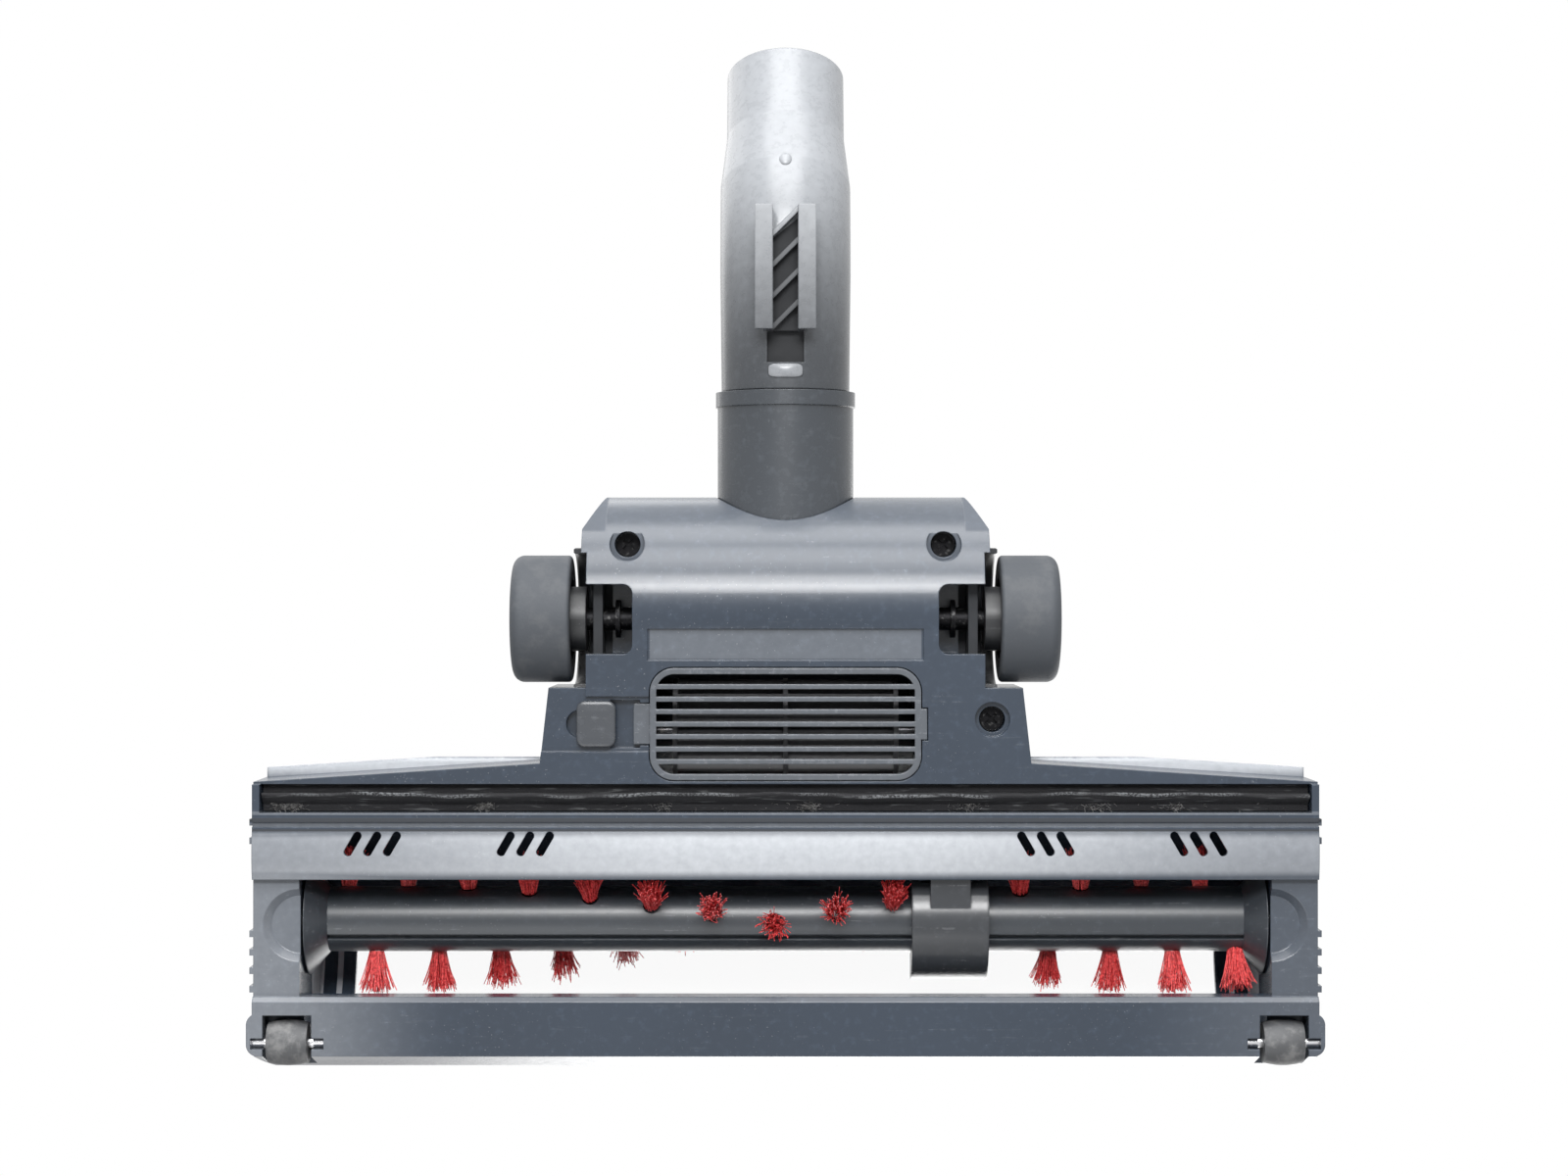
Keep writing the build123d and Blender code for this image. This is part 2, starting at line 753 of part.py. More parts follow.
def wheel_tyre():
    """Rubber tyre of the +X rear wheel, rounded at its outer edge."""
    inner, outer = wheel_faces()
    tyre = rod_x(wheel_radius, inner, outer, wheel_y, wheel_radius)
    tyre = fillet(tyre.edges().group_by(Axis.X)[-1], tyre_round)
    tyre = fillet(tyre.edges().group_by(Axis.X)[0], tyre_round / 3)
    return tyre - rod_x(wheel_radius - tyre_depth + press_gap, inner, outer, wheel_y, wheel_radius)


def castor():
    """Barrel-shaped +X castor."""
    half = castor_width / 2
    barrel = Polyline((castor_end_radius, -half), (0, -half), (0, half), (castor_end_radius, half))
    barrel += ThreePointArc((castor_end_radius, half), (castor_radius, 0), (castor_end_radius, -half))
    body = revolve(Plane.XZ * make_face(barrel), axis=Axis.Z)
    body -= Cylinder(castor_pin_radius + running_clearance, castor_width)
    return Pos(castor_x, castor_y, castor_radius) * Rot(0, 90, 0) * body


def tuft_places():
    """X and angle of each tuft: two opposed V rows, with a gap at the belt guard."""
    places = []
    count = int(2 * core_half / tuft_pitch)
    for row, offset_share in ((0, 0.0), (180, 0.5)):
        for index in range(-count, count):
            step = index + offset_share
            x = tuft_start_x + step * tuft_pitch
            in_core = abs(x) < core_half - tuft_root_radius
            beside_guard = abs(x - belt_x) > guard_half + tuft_tip_radius - clearance
            if in_core and beside_guard:
                places.append((x, row - tuft_step_angle * abs(step)))
    return places


def at_tuft(x, angle, shape):
    """Turn a shape that points down from the roller axis to a tuft's place."""
    return Pos(x, roller_y, roller_height) * Rot(-angle, 0, 0) * shape


def tuft_plug_shape(grow):
    """The tuft's root in its drilled hole."""
    return Pos(0, 0, tuft_plug / 2 - core_radius) * Cylinder(tuft_root_radius + grow, tuft_plug)


def bristle_tufts():
    """Bristle tufts, each a flared bundle set in its hole."""
    length = tuft_reach - core_radius
    flare = Pos(0, 0, -core_radius - length / 2) * Cone(tuft_tip_radius, tuft_root_radius, length)
    tuft = tuft_plug_shape(0) + flare
    return Compound(children=[at_tuft(x, angle, tuft) for x, angle in tuft_places()])


def roller_core():
    """Brush bar with the cutting groove, drilled for the tufts and waisted for the pulley."""
    core = rod_x(core_radius, -core_half, core_half, roller_y, roller_height)
    core -= rod_x(roller_shaft_radius + press_gap, -core_half, core_half, roller_y, roller_height)
    groove = span_box(-core_half, core_half, -cut_groove_width / 2, cut_groove_width / 2,
                      -core_radius - wall, cut_groove_depth - core_radius)
    core -= at_tuft(0, cut_groove_angle, groove)
    waist_x0 = belt_x - belt_half_room
    waist_x1 = belt_x + belt_half_room
    waist = rod_x(core_radius + wall, waist_x0, waist_x1, roller_y, roller_height)
    core -= waist - rod_x(pulley_seat_radius, waist_x0, waist_x1, roller_y, roller_height)
    holes = [at_tuft(x, angle, tuft_plug_shape(press_gap)) for x, angle in tuft_places()]
    return core - holes


def roller_flange():
    """Conical end flange of the roller at +X."""
    cone = Cone(core_radius, flange_radius, flange_length)
    flange = Pos(core_half + flange_length / 2, roller_y, roller_height) * Rot(0, 90, 0) * cone
    return flange - rod_x(roller_shaft_radius + press_gap, 0, bar_width, roller_y, roller_height)


def roller_shaft():
    """Steel shaft through the roller, running in the cheeks."""
    end = mouth_half + roller_shaft_seat - clearance
    return rod_x(roller_shaft_radius, -end, end, roller_y, roller_height)


def toothed_wheel(radius, teeth, bore, y, z):
    """Belt pulley with straight teeth."""
    half = belt_width / 2
    wheel = rod_x(radius, belt_x - half, belt_x + half, y, z)
    tooth_gap = math.pi * radius / teeth
    cut = span_box(-belt_width, belt_width, -tooth_gap / 2, tooth_gap / 2,
                   radius - tooth_depth, radius + wall)
    turns = [Pos(belt_x, y, z) * Rot(360 * index / teeth, 0, 0) * cut for index in range(teeth)]
    return wheel - turns - rod_x(bore + press_gap, belt_x - belt_width, belt_x + belt_width, y, z)


def roller_pulley():
    """Pulley on the roller's waist."""
    return toothed_wheel(roller_pulley_radius, tooth_count, pulley_seat_radius, roller_y, roller_height)


def turbine_pulley():
    """Small pulley on the end of the turbine shaft."""
    teeth = round(tooth_count * turbine_pulley_radius / roller_pulley_radius)
    return toothed_wheel(turbine_pulley_radius, teeth, turbine_shaft_radius, turbine_y, turbine_height)


def turbine_shaft():
    """Shaft of the turbine, from its far bushing to the pulley."""
    far = -belt_x - belt_half_room
    return rod_x(turbine_shaft_radius, belt_x - belt_width / 2, far, turbine_y, turbine_height)


def turbine_wheel():
    """Bladed wheel: curved blades between two end discs on a hub."""
    hub = Circle(turbine_hub_radius)
    root = (0, turbine_hub_radius - blade_root_sink)
    tip = (blade_bend, math.sqrt(turbine_radius ** 2 - blade_bend ** 2))
    middle = (0, (root[1] + tip[1]) / 2)
    blade = trace(ThreePointArc(root, middle, tip), line_width=blade_thickness)
    star = hub + [Rot(0, 0, 360 * index / blade_count) * blade for index in range(blade_count)]
    star = star & Circle(turbine_radius)
    place = Pos(turbine_y, turbine_height)
    wheel = slab(place * star, -turbine_half, turbine_half)
    for x in (-turbine_half, 0, turbine_half):
        disc = rod_x(turbine_radius, x - turbine_disc / 2, x + turbine_disc / 2, turbine_y, turbine_height)
        wheel += disc
    return wheel - rod_x(turbine_shaft_radius + press_gap, -drum_half, drum_half, turbine_y, turbine_height)


def hatch_grille():
    """Slatted hatch with a tab at the latch and a round nose at the hinge edge."""
    top = plate_bottom + hatch_thickness
    middle_y = (hatch_y + hatch_rear_y) / 2
    rim_plan = hatch_plan(0) - hatch_plan(-hatch_rim)
    grille = prism(rim_plan, plate_bottom, top)
    slat_pitch = (hatch_length - 2 * hatch_rim) / (slat_count + 1)
    for index in range(slat_count):
        y = hatch_y + hatch_rim + slat_pitch * (index + 1)
        slat = span_box(-hatch_half, hatch_half, y - slat_width / 2, y + slat_width / 2, plate_bottom, top)
        grille += slat & prism(hatch_plan(0), plate_bottom, top)
    tab_low = plate_bottom + hatch_tab_rise
    grille += span_box(hatch_half - hatch_rim, hatch_half + hatch_tab_reach, middle_y - hatch_tab_half,
                       middle_y + hatch_tab_half, tab_low, tab_low + hatch_thickness - clearance)
    hinge_x, hinge_z = hinge_place()
    nose = rod_y(hinge_nose_radius, hinge_x, middle_y - hinge_nose_half, middle_y + hinge_nose_half, hinge_z)
    return grille + (nose & span_box(-body_half, 0, hatch_y, hatch_rear_y, plate_bottom, top))


def hatch_latch():
    """Sliding latch button with two chamfered corners."""
    near, far = latch_places()
    middle_y = (hatch_y + hatch_rear_y) / 2
    low = middle_y - latch_half
    high = middle_y + latch_half
    plan = Polygon((near, low), (far - latch_corner, low), (far, low + latch_corner),
                   (far, high - latch_corner), (far - latch_corner, high), (near, high), align=None)
    return prism(plan, plate_bottom - latch_proud, trough_top - clearance)


def ring_seat_y():
    """Y of the collar's inner end, where the neck ring clears the barrel's wall."""
    inner = barrel_radius - barrel_wall - clearance
    return drum_y + math.sqrt(inner ** 2 - neck_ring_radius ** 2)


def knuckle():
    """Tilting knuckle: open barrel on two trunnions, with the collar of the neck."""
    skin = rod_x(barrel_radius, -barrel_half, barrel_half, drum_y, drum_height)
    skin -= rod_x(barrel_radius - barrel_wall, -barrel_half, barrel_half, drum_y, drum_height)
    half_arc = math.radians(barrel_arc / 2)
    reach = 2 * drum_radius
    mouth = Polygon((0, 0), (reach * math.cos(half_arc), reach * math.sin(half_arc)), (-2 * reach, reach),
                    (-2 * reach, -reach),
                    (reach * math.cos(half_arc), -reach * math.sin(half_arc)), align=None)
    skin -= slab(Pos(drum_y, drum_height) * mouth, -barrel_half, barrel_half)
    end = rod_x(barrel_radius, barrel_half - barrel_end, barrel_half, drum_y, drum_height)
    end += rod_x(trunnion_radius, barrel_half - barrel_end, barrel_half + trunnion_length,
                 drum_y, drum_height)
    seat = ring_seat_y()
    rim_y = drum_y + collar_reach
    collar = rod_y(collar_radius, 0, seat, rim_y, drum_height)
    collar += rod_y(collar_radius + collar_lip, 0, rim_y - collar_lip_length, rim_y, drum_height)
    bore = rod_y(journal_radius + running_clearance, 0, drum_y, rim_y, drum_height)
    return skin + both_sides(end) + collar - bore


def neck_run(root_radius, bend_radius, land_radius, start_y):
    """Straight, bent and spigot stretches of the neck, as one solid of round sections."""
    straight_end = bend_y - neck_tan
    root = Polygon((0, start_y), (root_radius, start_y), (bend_radius, straight_end), (0, straight_end),
                   align=None)
    run = Pos(0, 0, drum_height) * revolve(root, axis=Axis.Y)
    centre = Axis((0, straight_end, drum_height + neck_bend_sweep), (1, 0, 0))
    disc = Plane((0, straight_end, drum_height), z_dir=(0, 1, 0)) * Circle(bend_radius)
    run += revolve(disc, axis=centre, revolution_arc=neck_bend)
    leg = spigot_leg - neck_tan
    tip = Plane((0, bend_y + neck_tan * neck_cos, drum_height + neck_tan * neck_sin),
                x_dir=(1, 0, 0), z_dir=(0, neck_cos, neck_sin))
    spigot = Polygon((0, 0), (bend_radius, 0), (land_radius, leg - spigot_land), (land_radius, leg),
                     (0, leg), align=None)
    return run + tip * revolve(Plane.XZ * spigot, axis=Axis.Z)


def parking_hook():
    """Two flanged rails with diagonal ribs between them, under the neck."""
    start = drum_y + hook_reach
    end = start + hook_length
    foot = drum_height - pipe_root_radius - hook_drop
    root = drum_height - bore_radius
    gap = hook_gap / 2
    stem = (hook_half + gap) / 2
    rail = span_box(gap, stem, start, end, foot, root)
    rail += span_box(gap, hook_half, start, end, foot, foot + hook_flange)
    hook = both_sides(rail)
    bed = foot + hook_drop / 2
    for index in range(hook_rib_count):
        y = start + hook_length * (index + 0.5) / hook_rib_count
        rib = Rot(0, 0, hook_rib_angle) * Box(hook_gap * 2, hook_rib_width, root - bed)
        keep = span_box(-gap, gap, start, end, bed, root)
        hook += (Pos(0, y, (bed + root) / 2) * rib) & keep
    return hook


def neck_pipe():
    """Swivelling neck: journal in the collar, bent pipe, spigot and parking hook."""
    shoulder_y = drum_y + collar_reach + clearance
    inner_end = ring_seat_y() - clearance - neck_ring_length
    outer = neck_run(pipe_root_radius, pipe_bend_radius, spigot_radius, shoulder_y)
    outer += rod_y(journal_radius, 0, inner_end, shoulder_y, drum_height)
    outer += parking_hook()
    pocket_end = drum_y + hook_reach
    skin = drum_height - pipe_root_radius
    outer -= span_box(-hook_pocket_half, hook_pocket_half, pocket_end - hook_pocket_length, pocket_end,
                      skin - wall, skin + hook_pocket_sink)
    bore = neck_run(bore_radius, bore_radius, bore_radius, inner_end)
    return outer - bore


def neck_ring():
    """Ring on the inner end of the neck that keeps it in the collar."""
    end = ring_seat_y() - clearance
    ring = rod_y(neck_ring_radius, 0, end - neck_ring_length, end, drum_height)
    return ring - rod_y(journal_radius + press_gap, 0, end - neck_ring_length, end, drum_height)


os.makedirs("parts", exist_ok=True)
nodes = {
    "lower_housing": lower_housing(),
    "top_cover": top_cover(),
    "viewing_window": viewing_window(),
    "lint_strip": lint_strip(),
    "belt_guard": belt_guard(),
    "drive_belt": drive_belt(),
    "housing_screws": housing_screws(),
    "turbine_bearings": turbine_bearings(),
    "roller_bearings": roller_bearings(),
    "castor_pins": castor_pins(),
    "wheel_axles": wheel_axles(),
    "roller_core": roller_core(),
    "roller_flange_left": roller_flange(),
    "roller_flange_right": mirror(roller_flange(), about=Plane.YZ),
    "roller_shaft": roller_shaft(),
    "roller_pulley": roller_pulley(),
    "bristle_tufts": bristle_tufts(),
    "turbine_wheel": turbine_wheel(),
    "turbine_shaft": turbine_shaft(),
    "turbine_pulley": turbine_pulley(),
    "wheel_hub_left": wheel_hub(),
    "wheel_tyre_left": wheel_tyre(),
    "wheel_hub_right": mirror(wheel_hub(), about=Plane.YZ),
    "wheel_tyre_right": mirror(wheel_tyre(), about=Plane.YZ),
    "castor_left": castor(),
    "castor_right": mirror(castor(), about=Plane.YZ),
    "knuckle": knuckle(),
    "neck_pipe": neck_pipe(),
    "neck_ring": neck_ring(),
    "hatch_grille": hatch_grille(),
    "hatch_latch": hatch_latch(),
}
for name, shape in nodes.items():
    export_step(shape, f"parts/{name}.step")
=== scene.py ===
import math
import random

import bpy
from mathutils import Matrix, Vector


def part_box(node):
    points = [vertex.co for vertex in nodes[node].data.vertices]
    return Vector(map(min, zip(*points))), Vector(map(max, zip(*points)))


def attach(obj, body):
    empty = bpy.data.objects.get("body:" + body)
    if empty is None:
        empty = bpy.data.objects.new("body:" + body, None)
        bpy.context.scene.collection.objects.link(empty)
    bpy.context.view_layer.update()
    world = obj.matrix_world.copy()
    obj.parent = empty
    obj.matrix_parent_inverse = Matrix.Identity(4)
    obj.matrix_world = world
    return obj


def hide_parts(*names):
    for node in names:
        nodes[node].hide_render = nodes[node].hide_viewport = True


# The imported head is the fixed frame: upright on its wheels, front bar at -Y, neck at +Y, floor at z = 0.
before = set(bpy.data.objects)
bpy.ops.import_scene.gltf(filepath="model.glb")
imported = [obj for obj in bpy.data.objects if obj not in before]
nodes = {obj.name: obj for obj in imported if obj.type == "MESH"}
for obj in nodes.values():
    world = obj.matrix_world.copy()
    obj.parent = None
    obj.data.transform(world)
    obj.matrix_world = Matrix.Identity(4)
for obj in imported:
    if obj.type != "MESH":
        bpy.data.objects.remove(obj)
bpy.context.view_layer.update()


# Lower housing: the injection-moulded base with the front bar, brush mouth, visor, belly and half drum.
# Slate-black ABS from a finely sparked tool, satin, with a film of dust and long scuffs from hard floors.
# It is rubbed pale where it slides, with painted highlights on its visor, ends, ridges, panel and drum,
# painted shade in its creases and wheel pockets, and dull at the corners that get knocked.
class Wire:
    """A node's output, with the arithmetic that the finishes and the repeating pieces are written in."""

    def __init__(self, tree, socket=None):
        self.tree = tree
        self.socket = socket

    def feed(self, socket, value):
        """Link a wire, or each of a list of wires, to a socket, or set the socket to a plain value."""
        if isinstance(value, list):
            for strand in value:
                self.tree.links.new(strand.socket, socket)
        elif isinstance(value, Wire):
            self.tree.links.new(value.socket, socket)
        else:
            socket.default_value = value

    def node(self, kind, settings, inputs, output=0):
        """Add one node: its settings first, then its inputs, and give back one of its outputs."""
        made = self.tree.nodes.new(kind)
        for name, value in settings.items():
            setattr(made, name, value)
        for name, value in inputs.items():
            self.feed(made.inputs[name], value)
        return Wire(self.tree, made.outputs[output])

    def maths(self, operation, first, second):
        """One Math node on two values."""
        return self.node("ShaderNodeMath", {"operation": operation}, {0: first, 1: second})

    def __add__(self, other):
        return self.maths("ADD", self, other)

    __radd__ = __add__

    def __sub__(self, other):
        return self.maths("SUBTRACT", self, other)

    def __rsub__(self, other):
        return self.maths("SUBTRACT", other, self)

    def __mul__(self, other):
        return self.maths("MULTIPLY", self, other)

    __rmul__ = __mul__

    def __truediv__(self, other):
        return self.maths("DIVIDE", self, other)

    def between(self, low, high):
        """0 below low, 1 above high, and smooth in between."""
        settings = {"interpolation_type": "SMOOTHSTEP"}
        spread = {"Value": self, "From Min": low, "From Max": high}
        return self.node("ShaderNodeMapRange", settings, spread)

    def under(self, low, high):
        """1 below low, 0 above high, and smooth in between."""
        return 1.0 - self.between(low, high)

    def band(self, low, high, fade):
        """1 from low to high, fading out at both ends."""
        return self.between(low - fade, low) * self.under(high, high + fade)

    def axis(self, letter):
        """One part of a vector: X across the head, Y from front to back, Z up."""
        return self.node("ShaderNodeSeparateXYZ", {}, {"Vector": self}, letter)

    def aside(self):
        """The distance of these coordinates from the middle of the head, to either side."""
        return self.maths("ABSOLUTE", self.axis("X"), 0.0)

    def vector(self, operation, inputs, output=0):
        """One Vector Math node."""
        return self.node("ShaderNodeVectorMath", {"operation": operation}, inputs, output)

    def noise(self, scale, detail=3.0, roughness=0.55):
        """Noise of about 1 / scale metres on these coordinates."""
        inputs = {"Vector": self, "Scale": scale, "Detail": detail, "Roughness": roughness}
        return self.node("ShaderNodeTexNoise", {}, inputs, "Fac")

    def stretch(self, scale, turn=(0, 0, 0)):
        """The same coordinates, drawn out along an axis."""
        return self.node("ShaderNodeMapping", {}, {"Vector": self, "Scale": scale, "Rotation": turn})

    def blend(self, mask, first, second):
        """One colour where the mask is 0 and another where it is 1."""
        return self.node("ShaderNodeMix", {"data_type": "RGBA"}, {0: mask, 6: first, 7: second}, 2)

    def tint(self, mask, colour):
        """This colour, going over to another where the mask is 1."""
        return self.blend(mask, self, colour)


def new_finish(name):
    """An empty finish: its material, its Principled shader, and its Object coordinates."""
    material = bpy.data.materials.new(name)
    material.use_nodes = True
    tree = material.node_tree
    shader = tree.nodes["Principled BSDF"]
    coords = Wire(tree).node("ShaderNodeTexCoord", {}, {}, "Object")
    return material, shader, coords


def lay_on(shader, coords, looks, bump=None):
    """Give a shader its looks, each a wire or a plain value, and the inputs of its bump."""
    for name, value in looks.items():
        coords.feed(shader.inputs[name], value)
    if bump:
        coords.feed(shader.inputs["Normal"], coords.node("ShaderNodeBump", {}, bump))


def shade(colour, gain=1.0):
    """A colour made lighter or darker, in the form that a socket takes."""
    return (*(min(1.0, gain * part) for part in colour), 1.0)


def moulded_plastic(name, colour, rough, grain, dust, scuff, edge=0.0004,
                    pale_wear_and_light=None, painted_shade=None, dulled=None):
    """Satin moulded plastic with tool grain, edges rubbed pale and partly painted as highlights, dust,
    scuffs, and places of pale wear and painted light, of painted shade, or of dullness.
    """
    material, shader, coords = new_finish(name)
    deep, pale = shade(colour, 0.86), shade(colour, 2.4)
    dust_colour = (0.34, 0.35, 0.36, 1.0)
    wear_and_light_colour = (0.52, 0.54, 0.57, 1.0)
    painted_shade_colour = (0.008, 0.009, 0.011, 1.0)
    wide = coords.noise(16.0, 3.0)
    fine = coords.noise(420.0, 4.0, 0.6)
    pebble = coords.noise(2600.0, 2.0)
    rounded = coords.node("ShaderNodeBevel", {"samples": 4}, {"Radius": edge})
    flat = coords.node("ShaderNodeNewGeometry", {}, {}, "Normal")
    facing = coords.vector("DOT_PRODUCT", {0: rounded, 1: flat}, "Value")
    # Rounded edges are tinted pale: partly real rubbing, partly a painted highlight along edges that catch
    # the light.
    rubbed_lit_edges = (1.0 - facing).between(0.02, 0.25) * fine.between(0.32, 0.6)
    specks = coords.noise(1700.0, 1.0).between(0.72, 0.77) * wide.between(0.4, 0.62) * dust
    streaks = coords.stretch((14.0, 260.0, 120.0), (0.0, 0.0, 0.12)).noise(4.0, 3.0, 0.5)
    marks = streaks.between(0.6, 0.74) * fine.between(0.42, 0.6) * scuff
    tone = coords.blend(wide.between(0.3, 0.7), shade(colour), deep)
    tone = tone.tint(fine.between(0.5, 0.8) * 0.25, pale)
    # The pale mask holds real wear and painted highlights: colour lightened where light falls brightly.
    if pale_wear_and_light:
        tone = tone.tint(pale_wear_and_light(coords) * (fine * 0.4 + 0.75), wear_and_light_colour)
    tone = tone.tint(marks * 0.4, dust_colour)
    tone = tone.tint(specks * 0.8, dust_colour)
    tone = tone.tint(rubbed_lit_edges * 0.55, pale)
    sheen = fine * 0.1 + (rough - 0.05) + specks * 0.3 + marks * 0.12 - rubbed_lit_edges * 0.06
    # Painted shade: the colour darkened where shade falls in creases and hollows, and made rougher there
    # too.
    if painted_shade:
        shade_amount = painted_shade(coords)
        tone = tone.tint(shade_amount, painted_shade_colour)
        sheen = sheen + shade_amount * 0.5
    if dulled:
        sheen = sheen + dulled(coords) * 0.45
    height = pebble * grain + marks * 0.5 + specks * 0.6
    bump = {"Height": height, "Strength": 0.1, "Distance": 0.00003, "Normal": rounded}
    lay_on(shader, coords, {"Base Color": tone, "Roughness": sheen}, bump)
    return material


def dress(material, *names):
    """Give CAD nodes their finish."""
    for name in names:
        mesh = nodes[name].data
        mesh.materials.clear()
        mesh.materials.append(material)
        mesh.polygons.foreach_set("material_index", [0] * len(mesh.polygons))


# Places of wear, painted highlight and painted shade are given in metres: a pair is where a fade starts and
# ends, or the ends of a strip.
belly_face = (0.006, 0.009)
strip_fade = 0.0002


def base_wear_and_highlights(coords):
    """Pale wear and painted highlights on the base: the visor that slides on the floor, painted brightest
    mid-width, and painted highlights on the ends, ridges, panel and drum.
    """
    visor_front, visor_rear, visor_face = (-0.0862, -0.0835), (-0.0758, -0.0734), (0.0032, 0.004)
    visor_middle, end_start, end_rear = (0.02, 0.14), (0.085, 0.136), (-0.0745, -0.0735)
    brighter_lit_side = (-0.09, 0.09)
    rear_ridge, front_ridge = (-0.0693, -0.0686), (-0.0724, -0.0717)
    panel_run, panel_side, panel_face = (-0.0288, -0.0214), (0.0352, 0.0356), (0.012, 0.014)
    panel_fade = 0.0004
    drum_run = (-0.012, 0.006)
    depth, height, aside = coords.axis("Y"), coords.axis("Z"), coords.aside()
    visor = depth.between(*visor_front) * depth.under(*visor_rear) * height.under(*visor_face)
    visor = visor * (1.0 - aside.between(*visor_middle) * 0.55)
    low = height.under(*belly_face)
    ends = low * depth.under(*end_rear) * aside.between(*end_start)
    # One end is painted paler than the other, as if lit more from that side.
    ends = ends * (coords.axis("X").between(*brighter_lit_side) * 0.17 + 0.08)
    ridges = (depth.band(*rear_ridge, strip_fade) + depth.band(*front_ridge, strip_fade)) * low * 0.16
    panel = depth.band(*panel_run, panel_fade) * aside.under(*panel_side) * height.under(*panel_face) * 0.15
    drum = depth.between(*drum_run) * 0.11
    return coords.maths("MAXIMUM", visor * 0.8, ends) + ridges + panel + drum


def base_painted_shade(coords):
    """Painted shade in the base: the creases of the ridges and the wheel pockets, where shade falls."""
    rear_crease, front_crease = (-0.0712, -0.0703), (-0.0736, -0.0732)
    pocket_side, pocket_run, pocket_mouth = (0.0462, 0.0545), (-0.0292, -0.0092), (0.0068, 0.0074)
    pocket_fade = 0.0003
    depth, height, aside = coords.axis("Y"), coords.axis("Z"), coords.aside()
    creases = depth.band(*rear_crease, strip_fade) + depth.band(*front_crease, strip_fade)
    creases = creases * height.under(*belly_face) * 0.75
    pockets = aside.band(*pocket_side, pocket_fade) * depth.band(*pocket_run, pocket_fade)
    return creases + pockets * height.between(*pocket_mouth) * 0.9


def knocked_corners(coords):
    """The sloped rear corners of the drum, gone dull from knocks against furniture."""
    corner_side, corner_front = (0.047, 0.0478), (0.004, 0.005)
    return coords.aside().between(*corner_side) * coords.axis("Y").between(*corner_front)


slate = (0.027, 0.038, 0.056)
housing_finish = moulded_plastic("satin_housing", slate,
                                 rough=0.25, grain=1.0, dust=0.3, scuff=0.12,
                                 pale_wear_and_light=base_wear_and_highlights, painted_shade=base_painted_shade, dulled=knocked_corners)
dress(housing_finish, "lower_housing")


# Lint strip: a soft strip glued into the groove behind the visor, with a thin lip that brushes the carpet.
# Black napped fabric. The lip has gone wavy with use, and grey fluff hangs in the channel.
def napped_fabric():
    """Short black pile with grey fluff caught in it, worn grey along the lip."""
    material, shader, coords = new_finish("napped_fabric")
    black = (0.012, 0.012, 0.014, 1.0)
    fluff_grey, worn_grey = (0.16, 0.165, 0.17, 1.0), (0.2, 0.21, 0.22, 1.0)
    lip_tip = (0.0037, 0.0042)
    fluff = coords.stretch((40.0, 320.0, 320.0)).noise(3.0, 5.0)
    pile = coords.noise(1800.0, 3.0)
    tone = coords.blend(fluff.between(0.56, 0.72) * 0.5, black, fluff_grey)
    tone = tone.tint(coords.axis("Z").under(*lip_tip) * pile.between(0.4, 0.6) * 0.6, worn_grey)
    bump = {"Height": pile + fluff, "Strength": 0.6, "Distance": 0.0004}
    lay_on(shader, coords, {"Base Color": tone, "Roughness": 0.9}, bump)
    return material


def new_mesh(name, points, faces=()):
    """A mesh of points and faces."""
    mesh = bpy.data.meshes.new(name)
    mesh.from_pydata(points, [], faces)
    return mesh


def stand(name, data):
    """Put a mesh, a lamp or a camera into the scene as an object at the origin."""
    thing = bpy.data.objects.new(name, data)
    bpy.context.scene.collection.objects.link(thing)
    return thing


def skin_over(rings, first=0, turned=False):
    """Faces of a closed skin over rings of points, counted from first; turned swaps inside and outside."""
    count = len(rings[0])
    last = (len(rings) - 1) * count
    faces = [tuple(reversed(range(count))), tuple(range(last, last + count))]
    for start in range(0, last, count):
        for k in range(count):
            here, beside = start + k, start + (k + 1) % count
            faces.append((here, beside, beside + count, here + count))
    if turned:
        faces = [(face[0], *reversed(face[1:])) for face in faces]
    return [tuple(first + k for k in face) for face in faces]


def wavy_strip():
    """The strip's section, carried along the groove with a lip that wanders."""
    low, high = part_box("lint_strip")
    base_thickness, flank_reach, lip_round = 0.0016, 0.0022, 0.0001
    lip_front, lip_rear = -0.06473, -0.06393
    lip_middle = 0.5 * (lip_front + lip_rear)
    floor = high.z - base_thickness
    flank = lip_front - flank_reach
    steps = 260
    rings = []
    for step in range(steps + 1):
        x = low.x + (high.x - low.x) * step / steps
        sway = 0.0003 * math.sin(61 * x + 0.7) + 0.00022 * math.sin(173 * x + 2.1)
        sway += 0.00012 * math.sin(410 * x)
        droop = 0.00025 * math.sin(97 * x + 1.3) + 0.0002 * math.sin(287 * x) + 0.0003
        edge = low.z + max(droop, 0.0)
        section = [(low.y, high.z), (low.y, floor), (flank, floor), (lip_front + sway, edge + lip_round),
                   (lip_middle + sway, edge), (lip_rear + sway, edge + lip_round),
                   (lip_rear, floor), (high.y, floor), (high.y, high.z)]
        rings.append([(x, y, z) for y, z in section])
    mesh = new_mesh("lint_lip", sum(rings, []), skin_over(rings))
    mesh.materials.append(napped_fabric())
    return mesh


lint_lip = stand("lint_lip", wavy_strip())
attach(lint_lip, "housing")
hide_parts("lint_strip")


